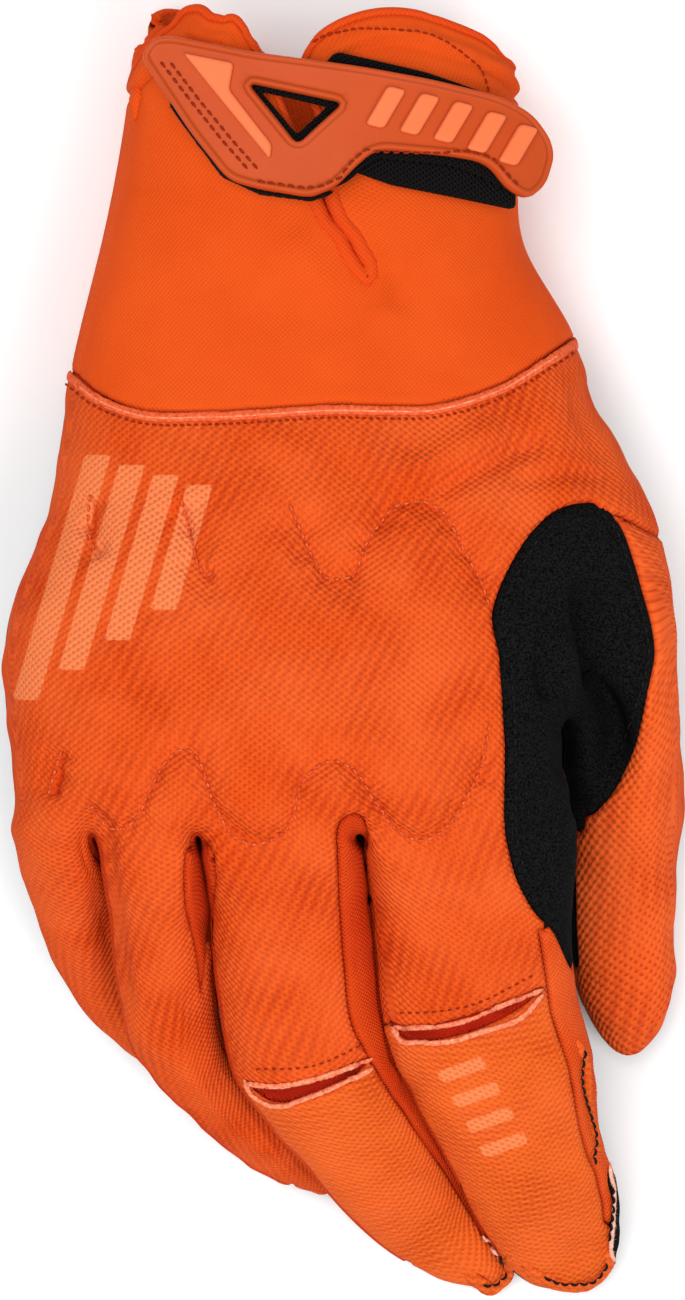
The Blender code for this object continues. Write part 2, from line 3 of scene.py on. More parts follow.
import bmesh
import bpy
import numpy as np
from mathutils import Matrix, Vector, noise
from mathutils.bvhtree import BVHTree
from mathutils.geometry import delaunay_2d_cdt
from mathutils.kdtree import KDTree


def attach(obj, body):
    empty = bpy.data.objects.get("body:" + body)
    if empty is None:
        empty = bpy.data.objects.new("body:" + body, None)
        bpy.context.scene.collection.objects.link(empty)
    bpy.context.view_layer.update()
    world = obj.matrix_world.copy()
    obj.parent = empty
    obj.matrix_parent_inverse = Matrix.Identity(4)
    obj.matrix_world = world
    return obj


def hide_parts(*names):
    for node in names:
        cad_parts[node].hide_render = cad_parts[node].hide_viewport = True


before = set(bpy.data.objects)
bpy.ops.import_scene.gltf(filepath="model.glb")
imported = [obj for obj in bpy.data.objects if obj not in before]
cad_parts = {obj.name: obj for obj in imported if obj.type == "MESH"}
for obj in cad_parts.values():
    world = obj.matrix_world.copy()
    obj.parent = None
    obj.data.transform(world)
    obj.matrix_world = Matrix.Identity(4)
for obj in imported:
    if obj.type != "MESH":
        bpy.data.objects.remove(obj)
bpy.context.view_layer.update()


# --- The stuffed form -------------------------------------------------------------------------
# A motocross glove is sewn inside out from flat panels and turned; filled, it takes one smooth
# skin. The skin is a coarse cage smoothed four times, and every panel is later cut from it.

GLOVE_LENGTH = 0.2210
GLOVE_WIDTH = 0.1165
GLOVE_HEIGHT = 0.0640

# rows of the hand from the cuff's mouth to the roots of the fingers: place along the glove's
# length, left and right edge across its width, mid-height and half thickness in its height
HAND_ROWS = (
    ("mouth", 0.977, 0.184, 0.771, 0.336, 0.352),
    ("cuff_high", 0.919, 0.178, 0.771, 0.336, 0.352),
    ("cuff_mid", 0.854, 0.156, 0.764, 0.336, 0.352),
    ("slit_end", 0.785, 0.131, 0.768, 0.344, 0.359),
    ("seam", 0.688, 0.091, 0.852, 0.383, 0.367),
    ("wrist", 0.646, 0.078, 0.936, 0.438, 0.359),
    ("thumb_root", 0.600, 0.058, 0.998, 0.484, 0.352),
    ("thumb_high", 0.538, -0.006, 0.891, 0.547, 0.344),
    ("thumb_low", 0.469, -0.006, 0.876, 0.609, 0.336),
    ("crotch", 0.404, 0.012, 0.850, 0.656, 0.328),
    ("roots", 0.358, 0.020, 0.855, 0.672, 0.305),
)

# places of the finger borders on the back, as shares of each row's own width: outer edge of the
# little finger, its inner web, the next web, half a web, both sides of the third web or of the
# slit, outer line of the forefinger and edge of the hand
BACK_LINES = {
    "mouth": (0.035, 0.114, 0.219, 0.012, 0.316, 0.405, 0.876, 0.960),
    "cuff_high": (0.039, 0.148, 0.271, 0.015, 0.387, 0.488, 0.867, 0.951),
    "cuff_mid": (0.046, 0.171, 0.329, 0.017, 0.483, 0.611, 0.892, 0.964),
    "slit_end": (0.040, 0.168, 0.343, 0.018, 0.572, 0.648, 0.897, 0.964),
    "seam": (0.042, 0.185, 0.345, 0.015, 0.534, 0.557, 0.883, 0.958),
    "thumb_root": (0.038, 0.171, 0.306, 0.013, 0.479, 0.502, 0.816, 0.914),
    "thumb_high": (0.046, 0.189, 0.354, 0.015, 0.561, 0.586, 0.808, 0.917),
    "thumb_low": (0.043, 0.180, 0.354, 0.017, 0.579, 0.608, 0.834, 0.914),
    "crotch": (0.031, 0.157, 0.340, 0.021, 0.591, 0.624, 0.866, 0.962),
    "roots": (0.035, 0.145, 0.325, 0.026, 0.579, 0.624, 0.871, 0.969),
}

# wavy edge of the mouth: rise of each line of the back, in the glove's length
MOUTH_RISE = (
    -0.035, -0.019, 0.000, 0.014, 0.015, 0.016, 0.012, 0.013, 0.005, -0.015, -0.015, 0.021, 0.006,
    -0.008, -0.045,
)
PALM_MOUTH_RISE = 0.026
# rise of the cuff's seam at the little finger's side and at the thumb's side: way, rise, where
# across the half width it starts, and the square of what is left
SEAM_RISES = ((-1, 0.034, 0.45, 0.30), (1, 0.075, 0.25, 0.56))
# share of that rise in the row above the seam
SEAM_RISE_HIGH = 0.35
# the palm's lines run straight through the cuff, from the place of its seam
CUFF_FROM = 0.66
SEAM_AT = 0.688

# rings of the digits: place across the width and along the length, height, half width in the
# glove's width, half depth in its height, then turn, pitch and roll in degrees
DIGITS = {
    "pinky": (
        (0.102, 0.308, 0.430, 0.067, 0.148, 6, 30, -20),
        (0.147, 0.250, 0.283, 0.062, 0.136, 25, 36, -15),
        (0.199, 0.214, 0.184, 0.058, 0.125, 42, 28, -10),
        (0.248, 0.192, 0.125, 0.052, 0.112, 48, 12, 0),
        (0.276, 0.181, 0.070, 0.041, 0.090, 48, 2, 0),
    ),
    "ring": (
        (0.234, 0.281, 0.578, 0.080, 0.169, 4, 20, -12),
        (0.259, 0.206, 0.480, 0.074, 0.156, 14, 30, -8),
        (0.288, 0.167, 0.398, 0.069, 0.150, 30, 38, -6),
        (0.368, 0.122, 0.215, 0.068, 0.141, 45, 32, 0),
        (0.448, 0.092, 0.072, 0.055, 0.112, 48, 10, 0),
    ),
    "middle": (
        (0.425, 0.281, 0.625, 0.114, 0.172, 3, 15, -3),
        (0.455, 0.184, 0.542, 0.102, 0.163, 11, 24, 0),
        (0.458, 0.177, 0.534, 0.101, 0.160, 13, 27, 0),
        (0.550, 0.100, 0.305, 0.093, 0.156, 39, 36, 0),
        (0.655, 0.032, 0.060, 0.074, 0.120, 38, 10, 0),
    ),
    "index": (
        (0.686, 0.288, 0.625, 0.140, 0.180, 2, 12, 5),
        (0.696, 0.227, 0.566, 0.142, 0.180, 10, 18, 6),
        (0.698, 0.221, 0.558, 0.141, 0.176, 11, 22, 6),
        (0.783, 0.120, 0.335, 0.114, 0.172, 20, 34, 5),
        (0.838, 0.028, 0.078, 0.088, 0.125, 20, 12, 2),
    ),
    "thumb": (
        (0.920, 0.500, 0.422, 0.079, 0.219, 20, 35, -5),
        (0.934, 0.392, 0.281, 0.082, 0.188, -30, 20, -15),
        (0.920, 0.331, 0.203, 0.088, 0.172, 0, 15, -5),
        (0.916, 0.262, 0.148, 0.082, 0.153, 0, 7, 0),
        (0.928, 0.216, 0.120, 0.066, 0.125, 0, 4, 0),
    ),
}

# roundness of the hand's cross-section and of a digit's
HAND_EXPONENT = 2.5
DIGIT_EXPONENT = 2.5
# the smoothed skin lies inside its cage by these shares
HAND_SWELL = 1.02
DIGIT_SWELL = 1.09
# how far the cage's tips stand past the last ring, in that ring's half depth
TIP_REACH = 1.9
# how far the webs lie before the fingers' roots, in the glove's length and on the flat cloth
WEB_DIP = 0.010
WEB_CLOTH = 0.012


def at(across, along, up):
    """A point from its shares of the glove's width, length and height."""
    return np.array([
        (across - 0.5) * GLOVE_WIDTH, (along - 0.5) * GLOVE_LENGTH, up * GLOVE_HEIGHT,
    ])


def power(value, exponent):
    return math.copysign(abs(value) ** exponent, value)


def lines_of(along):
    """The thirteen shares of the back's lines in one row, between the rows that are given."""
    given = [(next(r[1] for r in HAND_ROWS if r[0] == name), BACK_LINES[name])
             for name in BACK_LINES]
    given.sort()
    places = [g[0] for g in given]
    outer, web_a, web_b, half, slit_a, slit_b, line, edge = (
        float(np.interp(along, places, [g[1][k] for g in given])) for k in range(8)
    )
    a, b = web_a - half, web_a + half
    c, d = web_b - half, web_b + half
    return [outer, (outer + a) / 2, a, b, (b + c) / 2, c, d, (d + slit_a) / 2, slit_a,
            slit_b, (slit_b + line) / 2, line, edge]


def hand_ring(row):
    """Back lines from the little finger's side to the thumb's, the side, the palm lines back."""
    name, along, left, right, middle, half = row
    shares = lines_of(along)
    palm = shares if along < CUFF_FROM else lines_of(SEAM_AT)
    around = [(0.0, 0)] + [(s, 1) for s in shares] + [(1.0, 0)]
    around += [(s, -1) for s in reversed([palm[k] for k in range(12)])]
    ring = []
    for index, (share, side) in enumerate(around):
        x = 2 * share - 1
        z = side * max(0.0, 1 - abs(x) ** HAND_EXPONENT) ** (1 / HAND_EXPONENT)
        place = along
        if name == "mouth":
            on_back = index < len(MOUTH_RISE)
            place += MOUTH_RISE[index] if on_back else PALM_MOUTH_RISE
        if name in ("seam", "slit_end") and side >= 0:
            part = 1.0 if name == "seam" else SEAM_RISE_HIGH
            for way, rise, start, span in SEAM_RISES:
                place += part * rise * max(0.0, way * x - start) ** 2 / span
        across = (left + right) / 2 + x * HAND_SWELL * (right - left) / 2
        ring.append(at(across, place, middle + z * HAND_SWELL * half))
    return ring


def digit_frame(row):
    """Centre, sideways, upward and forward vectors of a digit's ring."""
    across, along, up, width, depth, turn, pitch, roll = row
    turn, pitch, roll = (math.radians(v) for v in (turn, pitch, roll))
    side = np.array([math.cos(turn), math.sin(turn), 0.0])
    ahead = np.array([math.sin(turn), -math.cos(turn), 0.0])
    top = math.cos(pitch) * np.array([0, 0, 1.0]) + math.sin(pitch) * ahead
    forward = math.cos(pitch) * ahead - math.sin(pitch) * np.array([0, 0, 1.0])
    rolled = math.cos(roll) * side - math.sin(roll) * top
    top = math.cos(roll) * top + math.sin(roll) * side
    half_width = width * GLOVE_WIDTH * DIGIT_SWELL
    half_depth = depth * GLOVE_HEIGHT * DIGIT_SWELL
    return at(across, along, up), rolled * half_width, top * half_depth, forward


def digit_ring(row, angles):
    centre, side, top, _ = digit_frame(row)
    ring = []
    for angle in angles:
        a = math.radians(angle)
        ring.append(
            centre + side * power(math.cos(a), 2 / DIGIT_EXPONENT)
            + top * power(math.sin(a), 2 / DIGIT_EXPONENT)
        )
    return ring


def build_cage():
    """Points, the same points on the flat cloth, faces with their regions, and their digits."""
    points, flat, faces, owners = [], [], [], []

    def add(ring, cloth):
        first = len(points)
        points.extend(ring)
        flat.extend(cloth)
        return list(range(first, first + len(ring)))

    def round_ring(ring, middle, across, along):
        """Places of a ring on the flat cloth: its own length to either side of its middle."""
        steps = np.linalg.norm(np.diff(np.array(ring), axis=0), axis=1)
        reach = np.concatenate([[0], np.cumsum(steps)])
        return [np.array([across + r - reach[middle], along, 0.0]) for r in reach]

    rows = []
    for row in HAND_ROWS:
        ring = hand_ring(row)
        cloth = round_ring(ring, 8, 0.0, 0.0)
        for spot, point in zip(cloth, ring):
            spot[1] = point[1]
        rows.append(add(ring, cloth))
    names = [row[0] for row in HAND_ROWS]
    count = len(rows[0])
    root = names.index("thumb_root")
    crotch = names.index("crotch")

    # index 0 is the little finger's side, 1 to 13 the back, 14 the thumb's side, 15 to 26 the palm
    for k in range(len(rows) - 1):
        for j in range(count):
            if root <= k < crotch and j in (13, 14):
                continue
            n = (j + 1) % count
            if k < names.index("seam"):
                region = "slit" if j == 9 and k < names.index("slit_end") else "cuff_shell"
            elif j >= 14:
                region = "palm_panel"
            elif j >= 12 and k >= root:
                region = "web_patch"
            elif j == 13 and k >= root - 1:
                region = "thumb_back"
            else:
                region = "hand_back"
            faces.append((region, [rows[k][j], rows[k][n], rows[k + 1][n], rows[k + 1][j]]))

    # roots of the fingers: back lines 1-3, 4-6, 7-9 and 10-13, palm lines 26-24 and so on
    last = rows[-1]

    def mid(a, b):
        low, high = points[last[b]], points[last[a]]
        cloth = flat[last[a]] * np.array([1.0, 1.0, 0.0]) - np.array([0, WEB_CLOTH, 0])
        dip = np.array([0, WEB_DIP * GLOVE_LENGTH, 0])
        return add([low * 0.5 + high * 0.5 + dip], [cloth])[0]

    web_names = ("fourchette_ring_pinky", "fourchette_middle_ring", "fourchette_index_middle")
    mids = []
    for k, region in enumerate(web_names):
        back_a, back_b = last[3 + 3 * k], last[4 + 3 * k]
        palm_a, palm_b = last[24 - 3 * k], last[23 - 3 * k]
        mid_a = mid(3 + 3 * k, 24 - 3 * k)
        mid_b = mid(4 + 3 * k, 23 - 3 * k)
        faces.append((region, [back_a, back_b, mid_b, mid_a]))
        faces.append((region, [mid_a, mid_b, palm_b, palm_a]))
        mids.append((mid_a, mid_b))

    def digit(name, start, angles, label):
        ring = start
        across, along = flat[start[2]][:2]
        before = points[start[2]]
        for k, row in enumerate(DIGITS[name]):
            spots = digit_ring(row, angles)
            along -= float(np.linalg.norm(spots[2] - before))
            before = spots[2]
            new = add(spots, round_ring(spots, 2, across, along))
            for j in range(len(ring)):
                n = (j + 1) % len(ring)
                faces.append((label(j, k), [ring[j], ring[n], new[n], new[j]]))
            ring = new
        centre, _, top, forward = digit_frame(DIGITS[name][-1])
        reach = np.linalg.norm(top) * TIP_REACH
        tip = add([centre + forward * reach], [np.array([across, along - reach, 0.0])])[0]
        j = 0
        while j < len(ring):
            step = 2 if j + 2 <= len(ring) else 1
            corner = [ring[(j + s) % len(ring)] for s in range(step + 1)]
            faces.append((label(j, len(DIGITS[name])), [tip] + corner))
            j += step
        owners.extend([name] * (len(faces) - len(owners)))

    owners += ["hand"] * len(faces)
    eight = (180, 135, 90, 45, 0, -45, -90, -135)

    def plain(side_a, side_b):
        return lambda j, k: (
            "hand_back" if j in (1, 2) or (k == 5 and j in (0, 2)) else
            "palm_panel" if j in (5, 6) or k == 5 else side_a if j in (0, 7) else side_b
        )

    def with_slot(side_a, side_b, insert, tip):
        def label(j, k):
            if j in (1, 2):
                return "hand_back" if k < 2 else insert if k == 2 else tip
            if k == 5:
                return tip if j == 0 else "palm_panel"
            if j in (5, 6):
                return "palm_panel"
            return side_a if j in (0, 7) else side_b
        return label

    pinky_web, ring_web, index_web = mids

    def pinky_label(j, k):
        if j in (0, 1, 2) and k < 5 or k == 5 and j < 3:
            return "hand_back"
        if k == 5 or j >= 5:
            return "palm_panel"
        return "fourchette_ring_pinky"

    digit("pinky", [last[0], last[1], last[2], last[3], pinky_web[0], last[24], last[25],
                    last[26]], eight, pinky_label)
    digit("ring", [pinky_web[1], last[4], last[5], last[6], ring_web[0], last[21], last[22],
                   last[23]], eight, plain("fourchette_ring_pinky", "fourchette_middle_ring"))
    digit("middle", [ring_web[1], last[7], last[8], last[9], index_web[0], last[18], last[19],
                     last[20]], eight,
          with_slot("fourchette_middle_ring", "fourchette_index_middle", "flex_insert_middle",
                    "middle_tip_back"))

    def index_label(j, k):
        if k == 5:
            return "index_tip_back" if j < 3 else "palm_panel"
        if j in (1, 2):
            return "hand_back" if k < 2 else "flex_insert_index" if k == 2 else "index_tip_back"
        if j in (3, 4):
            return "web_patch" if k == 0 else "index_side"
        return "fourchette_index_middle" if j in (0, 8) else "palm_panel"

    digit("index", [index_web[1], last[10], last[11], last[12], last[13], last[14], last[15],
                    last[16], last[17]],
          (180, 135, 92, 48, 20, -15, -55, -92, -135), index_label)

    # the thumb grows from the opening on the hand's side
    opening = [rows[root][14], rows[root][13], rows[root + 1][13], rows[root + 2][13],
               rows[crotch][13], rows[crotch][14], rows[crotch][15], rows[root + 2][15],
               rows[root + 1][15], rows[root][15]]

    def thumb_label(j, k):
        if j in (1, 2, 3, 4) and k < 2:
            return "web_patch"
        if k == 5:
            return "thumb_back" if j < 4 else "thumb_palm"
        if j in (5, 6, 7, 8):
            return "palm_panel" if k == 0 else "thumb_palm"
        return "thumb_back"

    digit("thumb", opening, (0, 36, 72, 108, 144, 180, 216, 252, 288, 324), thumb_label)
    return points, flat, faces, owners


# the glove lies a little off the middle of its own box
SET_OFF = np.array([-0.00063, -0.00099, 0.0])


def smooth_mesh(points, faces, levels):
    """Points and quads of a cage smoothed a number of times."""
    mesh = bpy.data.meshes.new("cage")
    mesh.from_pydata([tuple(map(float, p)) for p in points], [], faces)
    obj = bpy.data.objects.new("cage", mesh)
    bpy.context.scene.collection.objects.link(obj)
    smooth = obj.modifiers.new("smooth", "SUBSURF")
    smooth.levels = levels
    smooth.render_levels = levels
    done = obj.evaluated_get(bpy.context.evaluated_depsgraph_get()).to_mesh()
    spots = np.empty(len(done.vertices) * 3)
    done.vertices.foreach_get("co", spots)
    quads = np.empty(len(done.polygons) * 4, dtype=int)
    done.polygons.foreach_get("vertices", quads)
    bpy.data.objects.remove(obj)
    bpy.data.meshes.remove(mesh)
    return spots.reshape(-1, 3), quads.reshape(-1, 4)


def outward(cage_points, faces):
    """The cage's faces with their fronts outside."""
    edit = bmesh.new()
    verts = [edit.verts.new(tuple(map(float, p))) for p in cage_points]
    made = [edit.faces.new([verts[v] for v in face]) for face in faces]
    bmesh.ops.recalc_face_normals(edit, faces=made)
    edit.verts.index_update()
    turned = [[v.index for v in face.verts] for face in made]
    edit.free()
    return turned


def normals_of(points, quads):
    """Directions out of the skin at its points."""
    corners = points[quads]
    flat = np.cross(corners[:, 2] - corners[:, 0], corners[:, 3] - corners[:, 1])
    found = np.zeros_like(points)
    for k in range(4):
        np.add.at(found, quads[:, k], flat)
    return found / np.maximum(np.linalg.norm(found, axis=1), 1e-15)[:, None]


cage_points, pattern_points, cage_faces, owners = build_cage()
open_faces = [item for item in cage_faces if item[0] != "slit"]
open_owners = [owner for item, owner in zip(cage_faces, owners) if item[0] != "slit"]
LEVELS = 4
turned = outward(cage_points, [face for _, face in open_faces])
skin, quads = smooth_mesh(cage_points, turned, LEVELS)
skin = skin + SET_OFF
weave = smooth_mesh(pattern_points, turned, LEVELS)[0][:, :2]
# smoothing keeps the order of the cage's faces, each corner giving the same number of quads
shares = np.repeat(np.arange(len(turned)), [len(face) for face in turned])
cage_face_of = np.repeat(shares, 4 ** (LEVELS - 1))
region_of = np.array([region for region, _ in open_faces])[cage_face_of].astype("U24")
digit_of = np.array(open_owners)[cage_face_of]
skin[:, 2] = np.maximum(skin[:, 2], 0.0)
normals = normals_of(skin, quads)

# a drawing of the glove from above gives the places of its seams, folds and stitches: its
# steps are 0.17 mm, counted from its upper left corner, and it is drawn from 1.24 m up
EYE = np.array([-0.00063, -0.00099, 1.24])
DRAWN_AT = 0.040
STEP = 0.00017
MIDDLE_ACROSS = 342.5
MIDDLE_DOWN = 650.0


def drawn(points):
    """Where points lie in the drawing."""
    scale = (EYE[2] - DRAWN_AT) / (EYE[2] - points[:, 2]) / STEP
    return np.stack([MIDDLE_ACROSS + (points[:, 0] - EYE[0]) * scale,
                     MIDDLE_DOWN - (points[:, 1] - EYE[1]) * scale], axis=1)


def line_distance(places, line):
    """Distance of each place to a line, its share along the line and its side."""
    line = np.asarray(line, dtype=float)
    starts, steps = line[:-1], line[1:] - line[:-1]
    lengths = np.linalg.norm(steps, axis=1)
    total = np.concatenate([[0], np.cumsum(lengths)])
    best = np.full(len(places), 1e9)
    share, side = np.zeros(len(places)), np.zeros(len(places))
    for start, step, length, before in zip(starts, steps, lengths, total):
        away = places - start
        t = np.clip(away @ step / length ** 2, 0, 1)
        gap = away - t[:, None] * step
        far = np.linalg.norm(gap, axis=1)
        near = far < best
        best = np.where(near, far, best)
        share = np.where(near, (before + t * length) / total[-1], share)
        side = np.where(near, np.sign(step[0] * gap[:, 1] - step[1] * gap[:, 0]), side)
    return best, share, side


def inside(places, outline):
    """Which places lie in a closed outline."""
    found = np.zeros(len(places), dtype=bool)
    outline = np.asarray(outline, dtype=float)
    for a, b in zip(outline, np.roll(outline, -1, axis=0)):
        crosses = (a[1] > places[:, 1]) != (b[1] > places[:, 1])
        level = np.where(crosses, (places[:, 1] - a[1]) / ((b[1] - a[1]) or 1e-9), 0.0)
        found ^= crosses & (places[:, 0] < a[0] + level * (b[0] - a[0]))
    return found


def curved(line, count=8, closed=False):
    """A smooth line through a few places."""
    line = np.asarray(line, dtype=float)
    if closed:
        line = np.concatenate([line[-1:], line, line[:2]])
    else:
        line = np.concatenate([2 * line[:1] - line[1:2], line, 2 * line[-1:] - line[-2:-1]])
    found = []
    for p, q, r, s in zip(line, line[1:], line[2:], line[3:]):
        for t in np.arange(count) / count:
            found.append(0.5 * (2 * q + (r - p) * t + (2 * p - 5 * q + 4 * r - s) * t * t
                                + (3 * q - p - 3 * r + s) * t ** 3))
    if not closed:
        found.append(line[-2])
    return np.array(found)



# --- How the filled glove lies ----------------------------------------------------------------
# Its fingers curl and press on one another, the cuff's flaps stand apart and the slit gapes. The
# skin is pushed sideways for that: each push is a place in the drawing and the move there.

PUSHES = {
    "pinky": (((90, 852), (9, 0)), ((92, 889), (14, 0)), ((104, 935), (9, 0)),
              ((111, 954), (4, 0)), ((23, 875), (4, 0)), ((37, 930), (7, 0)), ((60, 981), (7, 0)),
              ((92, 1018), (2, 0))),
    "ring": (((104, 852), (-3, 0)), ((112, 954), (3, 0)), ((115, 981), (4, 0)),
             ((196, 852), (5, 0)), ((203, 889), (7, 0)), ((214, 944), (-1, 0)),
             ((226, 990), (-8, 0)), ((235, 1027), (-12, 0)), ((247, 1060), (-13, 0)),
             ((262, 1092), (-10, 0))),
    "middle": (((210, 852), (-4, 0)), ((217, 898), (-4, 0)), ((226, 944), (-8, 0)),
               ((233, 990), (-10, 0)), ((240, 1027), (-12, 0)), ((249, 1055), (-14, 0)),
               ((258, 1078), (-12, 0)), ((275, 1110), (-8, 0)), ((361, 864), (4, 0)),
               ((368, 916), (3, 0)), ((373, 984), (0, 0)), ((378, 1052), (4, 0)),
               ((394, 1093), (11, 0)), ((422, 1140), (8, 0)), ((451, 1182), (4, 0)),
               ((474, 1218), (3, 0)), ((480, 1244), (8, 0)), ((478, 1268), (17, 5))),
    "index": (((370, 864), (-4, 0)), ((374, 916), (-2, 0)), ((376, 984), (0, 0)),
              ((386, 1031), (0, 0)), ((409, 1072), (-8, 0)), ((435, 1119), (-13, 0)),
              ((461, 1166), (-13, 0)), ((487, 1213), (-15, 0)), ((508, 1244), (-16, 0)),
              ((521, 1263), (-8, 2)), ((570, 1290), (0, -6))),
}
PUSH_REACH = 26.0
PRESS_REACH = 14.0
# share that keeps a push from reaching far
STAY = 0.08
edge_a = quads.ravel()
edge_b = np.roll(quads, -1, axis=1).ravel()
neighbours = np.bincount(edge_a, minlength=len(skin)) + np.bincount(edge_b, minlength=len(skin))


def spread(values, times):
    """Values of the points after some rounds of averaging with their neighbours."""
    for _ in range(times):
        total = np.bincount(edge_a, values[edge_b], len(skin)) + np.bincount(
            edge_b, values[edge_a], len(skin))
        values = (values + total / neighbours) / 2
    return values


def push(table, amount, reach=PUSH_REACH):
    """Moves points of the skin sideways as drawn, by a share for each point."""
    places = drawn(skin)
    total = np.full(len(skin), STAY)
    move = np.zeros((len(skin), 2))
    for place, by in table:
        weight = np.exp(-((places - np.array(place)) ** 2).sum(axis=1) / reach ** 2)
        total += weight
        move += weight[:, None] * np.array(by)
    move *= (amount / total)[:, None]
    size = STEP * (EYE[2] - skin[:, 2]) / (EYE[2] - DRAWN_AT)
    skin[:, 0] += move[:, 0] * size
    skin[:, 1] -= move[:, 1] * size


# the fingers' sides are pressed against each other
PRESSES = {
    "pinky": (((93, 850), (5, 0)), ((97, 866), (3, 0))),
    "ring": (((99, 850), (-2, 0)), ((194, 848), (6, 0)), ((199, 862), (6, 0)), ((202, 878), (5, 0)),
             ((206, 896), (3, 0)), ((154, 1085), (4, -2)), ((166, 1102), (8, -4)),
             ((182, 1120), (12, -6)), ((205, 1143), (11, -6)), ((225, 1162), (11, -6)),
             ((255, 1180), (9, -5)), ((290, 1192), (7, -4))),
    "middle": (((206, 848), (-6, 0)), ((207, 862), (-5, 0)), ((208, 878), (-3, 0)),
               ((357, 840), (7, 0)), ((359, 860), (8, 0)), ((362, 880), (7, 0)),
               ((367, 910), (5, 0)), ((371, 940), (5, 0)), ((373, 975), (5, 0)),
               ((377, 1005), (4, 0)), ((382, 1035), (5, 0)), ((389, 1058), (6, 0)),
               ((487, 1250), (10, 2)), ((490, 1264), (17, 5)), ((478, 1278), (10, 9)),
               ((450, 1280), (2, 5))),
    "index": (((367, 860), (-4, 0)), ((370, 890), (-3, 0)), ((375, 940), (-2, 0)),
              ((379, 990), (-2, 0)), ((388, 1045), (-3, 0)), ((396, 1062), (-3, 0)),
              ((520, 1262), (-5, 2)), ((545, 1281), (-3, 6)), ((575, 1287), (0, 7)),
              ((600, 1272), (5, 4)), ((607, 1250), (4, 0)), ((598, 1085), (-4, 0)),
              ((604, 1105), (-9, 0)), ((608, 1125), (-12, 0)), ((612, 1150), (-10, 0)),
              ((615, 1175), (-3, 0))),
}
for tables, times, reach in ((PUSHES, 12, PUSH_REACH), (PRESSES, 8, PRESS_REACH)):
    for digit, table in tables.items():
        own = np.zeros(len(skin))
        own[np.unique(quads[digit_of == digit])] = 1.0
        push(table, spread(own, times if LEVELS == 4 else times // 3), reach)
# the far side of the cuff's mouth dips between the two flaps
cuff_points = np.zeros(len(skin))
cuff_points[np.unique(quads[region_of == "cuff_shell"])] = 1.0
far_mouth = cuff_points * (normals[:, 2] < 0) * (skin[:, 2] < 0.020)
push((((240, 14), (0, 18)), ((275, 12), (0, 62)), ((310, 12), (0, 60)), ((340, 12), (0, 52)),
      ((400, 14), (0, 36)), ((200, 14), (0, 0)), ((275, 120), (0, 0)), ((350, 120), (0, 0))),
     far_mouth, 34.0)
# the slit's sides lean together, more so at its open end
slit_sides = cuff_points * (normals[:, 2] > -0.3) * (skin[:, 2] > 0.02)
push((((322, 215), (10, 0)), ((326, 240), (12, 0)), ((338, 262), (9, 2)), ((354, 215), (-3, 0)),
      ((362, 250), (2, 0)), ((366, 268), (6, 2)), ((350, 275), (10, 3))), slit_sides, 20.0)
push((((320, 196), (-10, 0)), ((322, 215), (-9, 0)), ((358, 196), (-24, 0)), ((358, 215), (-21, 0)),
      ((337, 245), (1, 0)), ((366, 245), (-10, 0)), ((350, 265), (5, 0)), ((369, 265), (2, 0)),
      ((372, 278), (5, 6)), ((300, 215), (-2, 0)), ((385, 215), (-6, 0))), slit_sides, 15.0)
# the outline: the little finger's side from the wrist to the fingertip with the thumb's outer
# side, and then the hand beside the end of the cuff's seam
whole_skin = np.ones(len(skin))
push((((40, 520), (6, 0)), ((30, 550), (8, 0)), ((20, 585), (8, 0)), ((12, 620), (4, 0)),
      ((3, 720), (4, 0)), ((5, 760), (8, 0)), ((8, 790), (4, 0)), ((47, 490), (2, 0)),
      ((24, 850), (-6, 0)), ((48, 930), (-5, 0)), ((66, 970), (-7, 0)), ((84, 1000), (-6, 0)),
      ((108, 1030), (-5, 0)), ((676, 880), (-7, 0)), ((675, 912), (-5, 0)), ((60, 440), (0, 0)),
      ((60, 560), (2, 0)), ((40, 740), (2, 0))), whole_skin, 27.0)
push((((603, 392), (-13, 0)), ((608, 408), (-13, 0)), ((616, 430), (-6, 0)), ((590, 366), (-5, 0)),
      ((626, 455), (-2, 0))), whole_skin, 17.0)
# the outer corners of both flaps are round
push((((455, 8), (-12, 9)), ((480, 20), (-12, 9)), ((508, 42), (-13, 6)), ((425, 4), (-2, 4)),
      ((518, 72), (-2, 0)), ((158, 12), (20, 8)), ((147, 28), (6, 4)), ((141, 55), (0, 0)),
      ((170, 4), (8, 4))), cuff_points * (skin[:, 2] > 0.010), 16.0)
# the left flap's edge is bent
push((((190, 4), (0, -3)), ((214, 6), (0, 10)), ((244, 10), (0, -4)), ((268, 30), (2, 4))),
     cuff_points * (skin[:, 2] > 0.018), 13.0)
# the edge of the forefinger's side stands over the hollow in the web
push((((576, 652), (1, 0)), ((578, 690), (-13, 0)), ((580, 720), (-20, 0)), ((582, 760), (-17, 0)),
      ((582, 800), (-10, 0)), ((580, 832), (-2, 0)), ((579, 870), (0, 0)), ((578, 920), (0, 0)),
      ((632, 700), (0, 0)), ((632, 760), (0, 0)), ((620, 810), (0, 0)), ((535, 720), (-2, 0)),
      ((530, 780), (-2, 0)), ((515, 840), (0, 0)), ((576, 600), (0, 0)), ((600, 860), (0, 0))),
     np.clip((skin[:, 2] - 0.010) / 0.008, 0, 1) * (skin[:, 1] > -0.1), 17.0)
